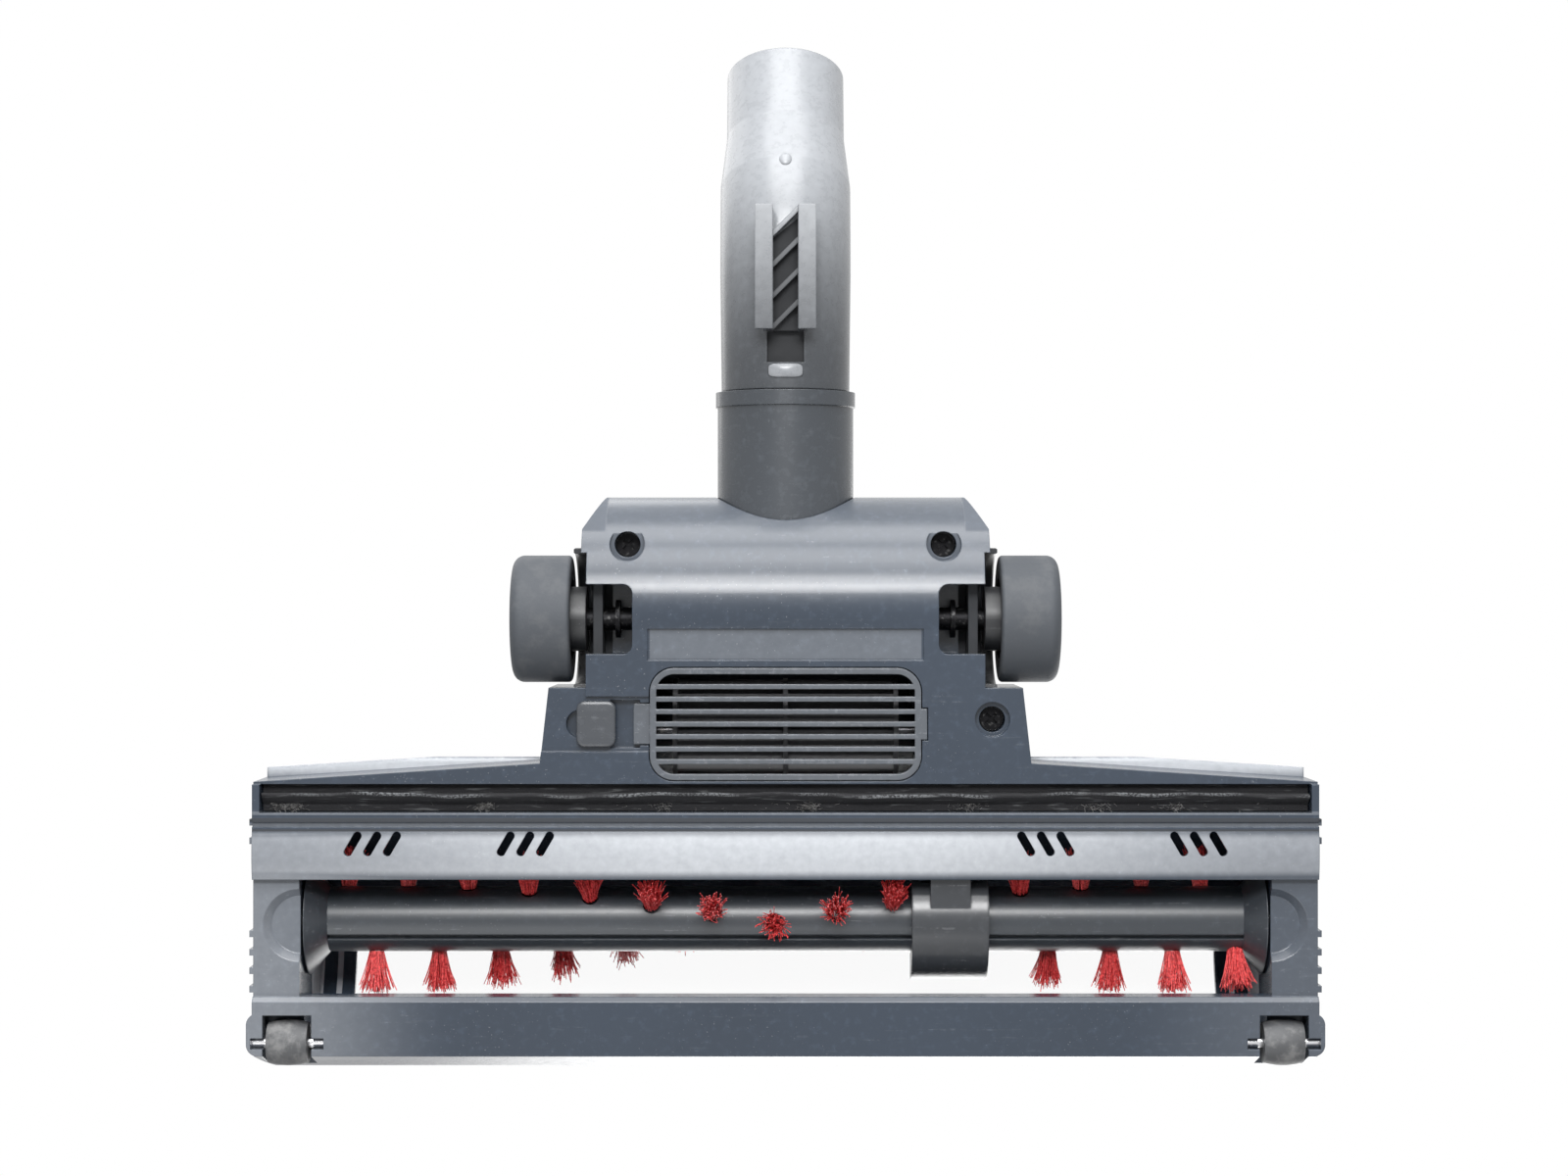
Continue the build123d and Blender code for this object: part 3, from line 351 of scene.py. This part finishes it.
def new_tree(name, sizes):
    """An empty geometry tree with points in, a mesh out and named sizes."""
    tree = bpy.data.node_groups.new(name, "GeometryNodeTree")
    tree.interface.new_socket("Geometry", in_out="INPUT", socket_type="NodeSocketGeometry")
    for label, value in sizes.items():
        kind = "NodeSocketInt" if isinstance(value, int) else "NodeSocketFloat"
        tree.interface.new_socket(label, in_out="INPUT", socket_type=kind)
    tree.interface.new_socket("Geometry", in_out="OUTPUT", socket_type="NodeSocketGeometry")
    entry = tree.nodes.new("NodeGroupInput")
    given = {socket.name: Wire(tree, socket) for socket in entry.outputs if socket.name}
    return Wire(tree), given


def end_tree(wire, instances, material):
    """Close a tree: its instances made real and given their finish."""
    real = wire.node("GeometryNodeRealizeInstances", {}, {"Geometry": instances})
    dressed = wire.node("GeometryNodeSetMaterial", {}, {"Geometry": real, "Material": material})
    leave = wire.tree.nodes.new("NodeGroupOutput")
    wire.feed(leave.inputs[0], dressed)


def grow(name, seeds, tree, sizes):
    """Run a tree on a mesh of points, with these sizes, and keep what it makes as a plain mesh."""
    piece = stand(name, seeds)
    growth = piece.modifiers.new(name, "NODES")
    growth.node_group = tree
    for socket in tree.interface.items_tree:
        if socket.in_out == "INPUT" and socket.name in sizes:
            growth[socket.identifier] = sizes[socket.name]
    made = piece.evaluated_get(bpy.context.evaluated_depsgraph_get())
    mesh = bpy.data.meshes.new_from_object(made)
    piece.modifiers.remove(growth)
    piece.data = mesh
    return piece


def chance(wire, low, high, seed):
    """A different number from low to high at each point."""
    return wire.node("FunctionNodeRandomValue", {"data_type": "FLOAT"}, {2: low, 3: high, 8: seed}, 1)


def chance_vector(wire, low, high, seed):
    """A different vector from low to high at each point."""
    return wire.node("FunctionNodeRandomValue", {"data_type": "FLOAT_VECTOR"}, {0: low, 1: high, 8: seed})


def combine(wire, **parts):
    """A vector of its X, Y and Z, each 0 where it isn't given."""
    return wire.node("ShaderNodeCombineXYZ", {}, parts)


def bent_hair(wire, sides, bend, radius):
    """One thin hair of unit length along Z, bent aside at its end."""
    line = {"Resolution": 5, "Start": (0, 0, 0), "Middle": (0, 0, 0.55), "End": combine(wire, X=bend, Z=1.0)}
    path = wire.node("GeometryNodeCurveQuadraticBezier", {}, line)
    outline = wire.node("GeometryNodeCurvePrimitiveCircle", {}, {"Resolution": sides, "Radius": radius})
    hair = {"Curve": path, "Profile Curve": outline, "Fill Caps": True}
    return wire.node("GeometryNodeCurveToMesh", {}, hair)


def on_points(wire, points, instance, turn=None, reach=None):
    """A copy of one shape on each point, turned its way and drawn out to its length."""
    inputs = {"Points": points, "Instance": instance}
    if turn is not None:
        inputs["Rotation"] = turn
    if reach is not None:
        inputs["Scale"] = combine(wire, X=1.0, Y=1.0, Z=reach)
    return wire.node("GeometryNodeInstanceOnPoints", {}, inputs)


def grey_fluff():
    """Dull grey household lint."""
    material, shader, coords = new_finish("grey_fluff")
    clump = coords.noise(700.0, 3.0)
    tone = coords.blend(clump.between(0.35, 0.65), (0.1, 0.1, 0.1, 1.0), (0.4, 0.39, 0.38, 1.0))
    lay_on(shader, coords, {"Base Color": tone, "Roughness": 0.9})
    return material


def fluff_seeds():
    """Where fluff hangs: thin all along the channel, thick at snags given by place, count and spread."""
    snags = ((0.0784, 150, 0.0011), (0.131, 90, 0.0024), (0.1285, 40, 0.001), (-0.006, 120, 0.0014),
             (-0.047, 50, 0.002), (0.032, 40, 0.0015), (-0.081, 50, 0.002), (-0.101, 60, 0.002))
    loose, loose_margin, end_margin = 34, 0.002, 0.003
    channel_front, channel_rear, channel_roof = -0.0684, -0.0667, 0.00722
    draw = random.Random(11)
    low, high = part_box("lint_strip")
    places = [draw.uniform(low.x + loose_margin, high.x - loose_margin) for _ in range(loose)]
    for middle, count, spread in snags:
        places += [middle + draw.gauss(0, spread) for _ in range(count)]
    inside = [min(max(x, low.x + end_margin), high.x - end_margin) for x in places]
    roots = [(x, draw.uniform(channel_front, channel_rear), channel_roof) for x in inside]
    return new_mesh("fluff_seeds", roots)


fluff_sizes = {"Length": 0.0015, "Radius": 0.000045, "Bend": 0.0007, "Seed": 5}
wire, given = new_tree("lint_fluff", fluff_sizes)
lean = chance_vector(wire, (-1.3, -0.5, -0.8), (1.3, 0.5, -0.05), given["Seed"])
lay = wire.node("FunctionNodeAlignRotationToVector", {"axis": "Z"}, {"Vector": lean})
reach = given["Length"] * chance(wire, 0.4, 1.0, given["Seed"] + 1)
hair = bent_hair(wire, 3, given["Bend"], given["Radius"])
end_tree(wire, on_points(wire, given["Geometry"], hair, lay, reach), grey_fluff())
lint_fluff = grow("lint_fluff", fluff_seeds(), wire.tree, fluff_sizes)
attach(lint_fluff, "housing")


# Top cover and viewing window: the roof of the head, screwed to the base from below.
# Slate-black satin plastic, painted pale as painted light under its overhang and inside the ends of its
# front arch, with a clear curved pane over the front of the roller.
roller_y, roller_z = -0.098229, 0.0205


def cover_painted_light(coords):
    """Painted light under the roof's overhang behind the base, where a bright reflection would be, and
    inside the ends of its front arch, where light falls.
    """
    rim_front, rim_rear, rim_top = (-0.063, -0.058), (-0.044, -0.042), (0.0285, 0.032)
    inner_rib, outer_rib, arch_rear = (0.1206, 0.1219), (0.1257, 0.13), (-0.104, -0.102)
    towards_roller = (-0.006, -0.003)
    depth, height, aside = coords.axis("Y"), coords.axis("Z"), coords.aside()
    rim = depth.between(*rim_front) * depth.under(*rim_rear) * height.under(*rim_top)
    face = coords.node("ShaderNodeNewGeometry", {}, {}, "Normal")
    inner = face.axis("Y") * (roller_y - depth) + face.axis("Z") * (roller_z - height)
    ends = aside.band(*inner_rib, strip_fade) + aside.band(*outer_rib, strip_fade)
    return (rim + inner.between(*towards_roller) * ends * depth.under(*arch_rear)) * 0.9


cover_finish = moulded_plastic("satin_cover", slate,
                               rough=0.24, grain=0.8, dust=0.2, scuff=0.08, edge=0.0015,
                               pale_wear_and_light=cover_painted_light, dulled=knocked_corners)
dress(cover_finish, "top_cover")


def clear_pane():
    """Clear acrylic, a little scratched."""
    material, shader, coords = new_finish("clear_pane")
    scratch = coords.stretch((30.0, 900.0, 900.0), (0.0, 0.0, 0.3)).noise(3.0, 4.0)
    lay_on(shader, coords, {"Base Color": (0.93, 0.95, 0.96, 1.0), "IOR": 1.49, "Alpha": 0.03,
                            "Roughness": scratch.between(0.6, 0.8) * 0.2 + 0.03})
    return material


dress(clear_pane(), "viewing_window")


# Turbine, shafts, pulleys, bearings and the belt: the drive between the hatch and the roller.
# Grey moulded plastic wheels and blocks, steel shafts and a black rubber belt.
drive_finish = moulded_plastic("turbine_plastic", (0.09, 0.09, 0.095),
                               rough=0.5, grain=0.6, dust=0.8, scuff=0.2)
dress(drive_finish, "turbine_wheel", "turbine_pulley", "roller_pulley")
dress(drive_finish, "turbine_bearings", "roller_bearings")


def drawn_steel(name, colour):
    """Drawn steel with fine lines round the bar and a few dull spots."""
    material, shader, coords = new_finish(name)
    lines = coords.stretch((900.0, 60.0, 60.0)).noise(3.0, 3.0)
    spots = coords.noise(500.0, 4.0)
    tone = coords.blend(spots.between(0.58, 0.72) * 0.5, shade(colour), (0.3, 0.28, 0.26, 1.0))
    lay_on(shader, coords, {"Base Color": tone, "Roughness": lines * 0.18 + 0.14, "Metallic": 1.0})
    return material


bright_steel = drawn_steel("bright_steel", (0.62, 0.62, 0.64))
dull_steel = drawn_steel("dull_steel", (0.07, 0.07, 0.075))
dress(bright_steel, "roller_shaft")
dress(dull_steel, "turbine_shaft")


def worn_rubber(name, colour, mottle, rough=0.45):
    """Grey-black rubber with a chalky bloom, mottled where it rolls."""
    material, shader, coords = new_finish(name)
    wide = coords.noise(150.0, 5.0, 0.65)
    fine = coords.noise(1500.0, 3.0)
    tone = coords.blend(wide.between(0.45, 0.7) * mottle, shade(colour), (0.2, 0.2, 0.2, 1.0))
    bump = {"Height": fine + wide * 2.0 * mottle, "Strength": 0.25, "Distance": 0.0002}
    lay_on(shader, coords, {"Base Color": tone, "Roughness": wide * 0.2 + rough}, bump)
    return material


dress(worn_rubber("belt_rubber", (0.02, 0.02, 0.021), mottle=0.2), "drive_belt")


# Brush roller: a moulded bar with conical end flanges and a straight slot for cutting hair off it.
# The bar is satin black and the tufts of red nylon are punched into it in two opposed V rows.
roller_finish = moulded_plastic("roller_plastic", (0.036, 0.042, 0.05),
                                rough=0.33, grain=0.6, dust=0.5, scuff=0.5)
dress(roller_finish, "roller_core", "roller_flange_left", "roller_flange_right")


def nylon_fibre():
    """Translucent red nylon, each strand its own shade."""
    material, shader, coords = new_finish("red_nylon")
    strand = coords.noise(1600.0, 2.0)
    tone = coords.blend(strand.between(0.36, 0.6), (0.5, 0.012, 0.018, 1.0), (0.95, 0.11, 0.11, 1.0))
    lay_on(shader, coords, {"Base Color": tone, "Roughness": 0.35, "Transmission Weight": 0.05})
    return material


def tuft_seeds():
    """One point at each tuft's root, with the way that the tuft points out of the bar."""
    bar_radius = 0.0086
    first_x, pitch, step_angle, most_steps = 0.0029, 0.0162, 15.5, 9
    guard_x, guard_room, last_x = -0.043, 0.0134, 0.1187
    beside_guard, set_clear = 0.0142, 0.0013
    roots = []
    aims = []
    for row, offset in ((0.0, 0.0), (180.0, 0.5)):
        for step in range(-most_steps, most_steps + 1):
            x = first_x + (step + offset) * pitch
            if abs(x) > last_x or abs(x - guard_x) < guard_room:
                continue
            if 0.0 < x - guard_x < beside_guard:
                x += set_clear
            angle = math.radians(row - step_angle * abs(step + offset))
            aim = Vector((0.0, -math.sin(angle), -math.cos(angle)))
            roots.append(Vector((x, roller_y, roller_z)) + aim * bar_radius)
            aims += list(aim)
    mesh = new_mesh("tuft_seeds", roots)
    mesh.attributes.new("aim", "FLOAT_VECTOR", "POINT").data.foreach_set("vector", aims)
    return mesh


tuft_sizes = {"Fibres": 150, "Length": 0.0112, "Root Radius": 0.0019, "Tip Radius": 0.0038,
              "Fibre Radius": 0.00013, "Bend": 0.0011, "Seed": 3}
wire, given = new_tree("bristle_tuft", tuft_sizes)
copies = {"Geometry": given["Geometry"], "Amount": given["Fibres"]}
points = wire.node("GeometryNodeDuplicateElements", {"domain": "POINT"}, copies)
aim = wire.node("GeometryNodeInputNamedAttribute", {"data_type": "FLOAT_VECTOR"}, {"Name": "aim"})
turn = chance(wire, 0.0, math.tau, given["Seed"])
spread = wire.maths("SQRT", chance(wire, 0.0, 1.0, given["Seed"] + 1), 0.0)
across = wire.vector("CROSS_PRODUCT", {0: aim, 1: (1, 0, 0)})
along = combine(wire, X=wire.maths("COSINE", turn, 0.0))
outward = wire.vector("MULTIPLY_ADD", {0: across, 1: wire.maths("SINE", turn, 0.0), 2: along})
shift = wire.vector("SCALE", {0: outward, "Scale": spread * given["Root Radius"]})
punched = wire.node("GeometryNodeSetPosition", {}, {"Geometry": points, "Offset": shift})
splay = spread * (given["Tip Radius"] - given["Root Radius"]) / given["Length"]
fanned = wire.vector("MULTIPLY_ADD", {0: outward, 1: splay, 2: aim})
stray = chance_vector(wire, (-0.09, -0.09, -0.09), (0.09, 0.09, 0.09), given["Seed"] + 2)
lean = wire.vector("ADD", {0: fanned, 1: stray})
stood = wire.node("FunctionNodeAlignRotationToVector", {"axis": "Z"}, {"Vector": lean})
roll = wire.node("FunctionNodeAxisAngleToRotation", {},
                 {"Axis": (0, 0, 1), "Angle": chance(wire, 0.0, math.tau, given["Seed"] + 3)})
rolled = wire.node("FunctionNodeRotateRotation", {"rotation_space": "LOCAL"},
                   {"Rotation": stood, "Rotate By": roll})
reach = given["Length"] * chance(wire, 0.76, 1.0, given["Seed"] + 4)
fibre = bent_hair(wire, 3, given["Bend"], given["Fibre Radius"])
end_tree(wire, on_points(wire, punched, fibre, rolled, reach), nylon_fibre())
bristles = grow("bristles", tuft_seeds(), wire.tree, tuft_sizes)
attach(bristles, "roller")
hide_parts("bristle_tufts")


# Belt guard: a glossy black band that wraps under the roller where the belt runs.
# Polished moulding, hooked over the visor by its tongue.
guard_finish = moulded_plastic("gloss_guard", (0.033, 0.036, 0.041),
                               rough=0.25, grain=0.1, dust=0.3, scuff=0.25, edge=0.0009)
dress(guard_finish, "belt_guard")


# Turbine hatch and its latch: the slatted door under the turbine and the sliding button beside it.
# Satin plastic, greyer than the base. The button is worn by fingers, and its rim is softened.
hatch_finish = moulded_plastic("satin_hatch", (0.085, 0.094, 0.108),
                               rough=0.26, grain=0.6, dust=0.3, scuff=0.3, edge=0.0006)
dress(hatch_finish, "hatch_grille")


def latch_button():
    """A low button with round corners, a crowned top and a softened rim."""
    low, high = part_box("hatch_latch")
    middle = 0.5 * (low + high)
    half = 0.5 * (high - low)
    corner, least_corner = 0.0021, 0.0004
    profile = ((0.0, high.z), (0.0, low.z + 0.0006), (0.00012, low.z + 0.0003), (0.00036, low.z + 0.0001),
               (0.0008, low.z), (0.0026, low.z - 0.0001))
    steps = 8
    rings = []
    for inset, z in profile:
        bend = max(corner - inset, least_corner)
        ring = []
        for quarter, (side_x, side_y) in enumerate(((1, 1), (-1, 1), (-1, -1), (1, -1))):
            centre_x = middle.x + side_x * (half.x - inset - bend)
            centre_y = middle.y + side_y * (half.y - inset - bend)
            for step in range(steps + 1):
                angle = 0.5 * math.pi * (quarter + step / steps)
                ring.append((centre_x + bend * math.cos(angle), centre_y + bend * math.sin(angle), z))
        rings.append(ring)
    mesh = new_mesh("latch_button", sum(rings, []), skin_over(rings, turned=True))
    mesh.materials.append(moulded_plastic("worn_latch", (0.05, 0.055, 0.063),
                                          rough=0.27, grain=0.5, dust=0.4, scuff=0.3, edge=0.0005))
    return mesh


latch = stand("latch_button", latch_button())
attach(latch, "latch")
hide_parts("hatch_latch")


# Housing screws: three pan-head screws driven from below, at the rear corners and in one wing.
# Blackened steel with a cross recess, deep in their moulded wells.
def black_oxide():
    """Blackened steel, rubbed to bare metal here and there."""
    material, shader, coords = new_finish("black_oxide")
    rub = coords.noise(900.0, 4.0)
    tone = coords.blend(rub.between(0.55, 0.72), (0.008, 0.008, 0.009, 1.0), (0.06, 0.06, 0.06, 1.0))
    lay_on(shader, coords, {"Base Color": tone, "Roughness": rub * 0.3 + 0.3, "Metallic": 0.9})
    return material


screw_sizes = {"Head Radius": 0.003, "Head Height": 0.002, "Shank Radius": 0.0015, "Shank Length": 0.022,
               "Recess Width": 0.0009, "Recess Span": 0.0036, "Recess Depth": 0.0012}
screw_seats = [(0.0415, 0.000971, 0.02), (-0.0415, 0.000971, 0.02), (-0.0539, -0.044729, 0.013)]
wire, given = new_tree("housing_screw", screw_sizes)
disc = {"Vertices": 40, "Radius": given["Head Radius"], "Depth": given["Head Height"]}
head = wire.node("GeometryNodeMeshCylinder", {}, disc)
half_down = combine(wire, Z=given["Head Height"] * -0.5)
for turn in (0.25 * math.pi, 0.75 * math.pi):
    bar_size = combine(wire, X=given["Recess Span"], Y=given["Recess Width"], Z=given["Recess Depth"] * 2.0)
    bar = wire.node("GeometryNodeMeshCube", {}, {"Size": bar_size})
    placed = {"Geometry": bar, "Translation": half_down, "Rotation": (0, 0, turn)}
    cutter = wire.node("GeometryNodeTransform", {}, placed)
    cut = {"operation": "DIFFERENCE", "solver": "EXACT"}
    head = wire.node("GeometryNodeMeshBoolean", cut, {0: head, 1: cutter})
head = wire.node("GeometryNodeTransform", {}, {"Geometry": head, "Translation": half_down})
rod = {"Vertices": 20, "Radius": given["Shank Radius"], "Depth": given["Shank Length"]}
shank = wire.node("GeometryNodeMeshCylinder", {}, rod)
half_up = combine(wire, Z=given["Shank Length"] * 0.5)
shank = wire.node("GeometryNodeTransform", {}, {"Geometry": shank, "Translation": half_up})
whole = wire.node("GeometryNodeJoinGeometry", {}, {0: [head, shank]})
end_tree(wire, on_points(wire, given["Geometry"], whole), black_oxide())
screws = grow("screws", new_mesh("screw_seats", screw_seats), wire.tree, screw_sizes)
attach(screws, "housing")
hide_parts("housing_screws")


# Rear wheels and front castors: black hubs in rubber tyres on steel stubs, and rubber barrels on pins.
# The rubber is grey with wear, most of all on the castors.
hub_finish = moulded_plastic("satin_hub", (0.015, 0.016, 0.018), rough=0.42, grain=0.3, dust=0.4, scuff=0.2)
tyre_finish = worn_rubber("tyre_rubber", (0.048, 0.054, 0.063), mottle=0.15, rough=0.6)
castor_finish = worn_rubber("castor_rubber", (0.06, 0.062, 0.066), mottle=0.8)
dress(hub_finish, "wheel_hub_left", "wheel_hub_right")
dress(tyre_finish, "wheel_tyre_left", "wheel_tyre_right")
dress(castor_finish, "castor_left", "castor_right")
dress(bright_steel, "castor_pins")
dress(black_oxide(), "wheel_axles")


# Wheel arches: a curved lip on each side of the housing, over the gap between it and the wheel.
# Moulded with the base, and coloured darker than it as painted shade from the wheel.
def wheel_arches():
    """Two arched lips about the wheel axis, one at each side."""
    wheel_y, wheel_z = -0.018629, 0.0167
    inner, outer = 0.0172, 0.0187
    root, rim = 0.0505, 0.0558
    rim_drop, rim_round = 0.0004, 0.0003
    first_angle, sweep, steps = -6, 192, 48
    section = ((inner, root), (inner, rim - rim_drop), (inner + rim_round, rim),
               (outer - rim_round, rim), (outer, rim - rim_drop), (outer, root))
    points = []
    faces = []
    for side in (1, -1):
        rings = []
        for step in range(steps + 1):
            angle = math.radians(first_angle + sweep * step / steps)
            turn_y, turn_z = math.cos(angle), math.sin(angle)
            rings.append([(side * x, wheel_y + radius * turn_y, wheel_z + radius * turn_z)
                          for radius, x in section])
        faces += skin_over(rings, first=len(points), turned=side < 0)
        points += sum(rings, [])
    mesh = new_mesh("wheel_arches", points, faces)
    mesh.materials.append(moulded_plastic("arch_painted_shade", (0.02, 0.022, 0.026),
                                          rough=0.32, grain=0.8, dust=0.2, scuff=0.1))
    return mesh


arches = stand("wheel_arches", wheel_arches())
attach(arches, "housing")


# Knuckle and neck: the tilting barrel with its collar, and the bent pipe that swivels in it.
# Satin black plastic, painted paler towards the spigot and on the catch bead as a painted highlight, and
# with painted shade inside the parking hook.
def neck_painted_highlight(coords):
    """A painted highlight: paler towards the spigot, where the pipe is gripped, and on the bead that the
    hook's catch rubs.
    """
    spigot_highlight_run, bead_top = (0.046, 0.108), (0.022, 0.026)
    bead_y, bead_half_width, bead_half_length = 0.0471, 0.0047, 0.0019
    depth = coords.axis("Y")
    wide = coords.axis("X") / bead_half_width
    long = (depth - bead_y) / bead_half_length
    bead = (wide * wide * wide * wide + long * long * long * long).under(0.7, 1.0)
    return depth.between(*spigot_highlight_run) * 0.52 + bead * coords.axis("Z").under(*bead_top) * 0.4


def hook_painted_shade(coords):
    """Painted shade in the hook's channel, below its first slanted rib, and in the pocket at its lower end.
    """
    channel_side, channel_low, channel_floor = (0.0032, 0.0034), (0.0572, 0.0576), (0.0147, 0.0165)
    first_rib, rib_slant = (0.0846, 0.0849), 0.82
    pocket_side, pocket_run, pocket_floor = (0.0049, 0.0051), (0.0493, 0.0575), (0.0181, 0.0187)
    pipe_middle = (0.03, 0.035)
    depth, height, aside = coords.axis("Y"), coords.axis("Z"), coords.aside()
    below_rib = (depth + coords.axis("X") * rib_slant).under(*first_rib)
    channel = aside.under(*channel_side) * depth.between(*channel_low) * below_rib
    channel = channel * (height.between(*channel_floor) * 0.37 + 0.6)
    pocket = aside.under(*pocket_side) * depth.band(*pocket_run, strip_fade)
    pocket = pocket * height.between(*pocket_floor) * 0.95
    return (channel + pocket) * height.under(*pipe_middle)


neck_finish = moulded_plastic("satin_neck", (0.05, 0.055, 0.062),
                              rough=0.28, grain=0.8, dust=0.2, scuff=0.15, edge=0.0005,
                              pale_wear_and_light=neck_painted_highlight, painted_shade=hook_painted_shade)
collar_finish = moulded_plastic("satin_collar", (0.042, 0.048, 0.056),
                                rough=0.27, grain=0.8, dust=0.2, scuff=0.15)
dress(neck_finish, "neck_pipe")
dress(collar_finish, "knuckle", "neck_ring")


# Gate mark and catch bead: a round pip from the moulding gate, and a rounded bead below the hook's pocket.
# Both are one with the pipe and stand a little proud of its underside.
def skin_of_pipe(x, y):
    """The pipe's underside at a place, and which way it faces."""
    well_below = -0.05
    _, place, facing, _ = nodes["neck_pipe"].ray_cast(Vector((x, y, well_below)), Vector((0, 0, 1)))
    return place, facing.normalized()


def moulded_bump(name, y, half_width, half_length, rise, squareness):
    """A low round-topped bump on the underside of the pipe, with its foot closed just inside the wall."""
    crown, facing = skin_of_pipe(0.0, y)
    rings, spokes, sunk, foot_depth = 8, 40, 0.0001, 0.0004
    points = [crown + facing * (rise - sunk)]
    for ring in range(1, rings + 1):
        fall = 0.5 * math.pi * ring / rings
        share = math.sin(fall)
        proud = rise * math.cos(fall) - sunk
        for spoke in range(spokes):
            turn = math.tau * spoke / spokes
            turn_x, turn_y = math.cos(turn), math.sin(turn)
            across = math.copysign(abs(turn_x) ** squareness, turn_x) * half_width * share
            along = math.copysign(abs(turn_y) ** squareness, turn_y) * half_length * share
            points.append(skin_of_pipe(across, y + along)[0] + facing * proud)
    points.append(crown - facing * foot_depth)
    last = len(points) - 1
    foot = last - spokes
    faces = []
    for spoke in range(spokes):
        beside = (spoke + 1) % spokes
        faces.append((0, 1 + beside, 1 + spoke))
        for inner in range(1, foot, spokes):
            outer = inner + spokes
            faces.append((inner + spoke, inner + beside, outer + beside, outer + spoke))
        faces.append((foot + spoke, foot + beside, last))
    mesh = new_mesh(name, points, faces)
    mesh.materials.append(neck_finish)
    mesh.polygons.foreach_set("use_smooth", [True] * len(mesh.polygons))
    bump = stand(name, mesh)
    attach(bump, "neck")


moulded_bump("gate_mark", y=0.1038, half_width=0.0017, half_length=0.0017, rise=0.0007, squareness=1.0)
moulded_bump("catch_bead", y=0.0471, half_width=0.0048, half_length=0.002, rise=0.0009, squareness=0.5)


# Floor and studio light: the head is seen from under a pale floor that shows from above only.
# Soft lamps stand on both sides of the floor, and the world is white to the camera and in reflections.
def pale_floor():
    """A pale floor that is seen from above, looked through from below, and lost in the white far off."""
    material, shader, coords = new_finish("pale_floor")
    lay_on(shader, coords, {"Base Color": (0.86, 0.86, 0.87, 1.0), "Roughness": 0.7})
    far_off = (0.5, 1.5)
    seen = coords.node("ShaderNodeLightPath", {}, {}, "Is Camera Ray")
    behind = coords.node("ShaderNodeNewGeometry", {}, {}, "Backfacing")
    away = coords.vector("LENGTH", {0: coords}, "Value")
    shown = seen * (1.0 - behind) * away.under(*far_off)
    clear = coords.node("ShaderNodeBsdfTransparent", {}, {})
    solid = Wire(coords.tree, shader.outputs[0])
    mixed = coords.node("ShaderNodeMixShader", {}, {0: shown, 1: clear, 2: solid})
    coords.feed(coords.tree.nodes["Material Output"].inputs["Surface"], mixed)
    return material


floor_half = 2.5
floor_corners = [(-floor_half, -floor_half, 0), (floor_half, -floor_half, 0),
                 (floor_half, floor_half, 0), (-floor_half, floor_half, 0)]
floor_mesh = new_mesh("floor", floor_corners, [(0, 1, 2, 3)])
floor_mesh.materials.append(pale_floor())
floor = stand("floor", floor_mesh)

room_light = 0.35
world = bpy.data.worlds.new("studio")
bpy.context.scene.world = world
world.use_nodes = True
air = Wire(world.node_tree)
seen_white = air.node("ShaderNodeLightPath", {}, {}, "Is Camera Ray")
for path in ("Is Transmission Ray", "Is Glossy Ray"):
    seen_white = air.maths("MAXIMUM", seen_white, air.node("ShaderNodeLightPath", {}, {}, path))
background = world.node_tree.nodes["Background"]
background.inputs["Color"].default_value = (1.0, 1.0, 1.0, 1.0)
air.feed(background.inputs["Strength"], seen_white * (1.0 - room_light) + room_light)


def soft_lamp(name, place, aim, width, depth, power):
    """A large soft lamp that the camera doesn't see."""
    lamp = bpy.data.lights.new(name, "AREA")
    lamp.shape = "RECTANGLE"
    lamp.size = width
    lamp.size_y = depth
    lamp.energy = power
    holder = stand(name, lamp)
    holder.location = place
    holder.rotation_euler = (Vector(aim) - Vector(place)).to_track_quat("-Z", "Y").to_euler()
    holder.visible_camera = False


soft_lamp("lamp_above", (-0.5, -0.7, 1.1), aim=(0, 0, 0), width=1.3, depth=1.3, power=14.0)
soft_lamp("lamp_above_rear", (0.7, 0.8, 0.9), aim=(0, 0, 0), width=1.3, depth=1.3, power=8.0)
soft_lamp("lamp_below_drum", (0.0, 0.48, -0.98), aim=(0, -0.02, 0.01), width=0.5, depth=0.28, power=11.0)
soft_lamp("lamp_below_neck", (0.0, 0.95, -0.66), aim=(0, 0.08, 0.03), width=1.0, depth=0.5, power=11.0)
soft_lamp("lamp_behind", (0.0, 1.25, -0.12), aim=(0, 0.0, 0.03), width=1.2, depth=0.5, power=10.0)
soft_lamp("lamp_below_front", (0.3, -0.7, -0.8), aim=(0, 0, 0.02), width=0.7, depth=0.7, power=3.0)


# Camera: where the photograph was taken from, 0.77 m below the floor and straight up at the belly.
# The neck points to the top of the frame.
camera_place = (0.0004, -0.0105, -0.77)
frame_width_px = 1600
focal_px = 3039
sensor_width = 36.0
lens = bpy.data.cameras.new("photo_camera")
lens.sensor_width = sensor_width
lens.lens = sensor_width * focal_px / frame_width_px
camera = stand("photo_camera", lens)
camera.location = camera_place
camera.rotation_euler = (0.0, math.pi, 0.0)
bpy.context.scene.camera = camera
bpy.context.scene.view_settings.view_transform = "Standard"
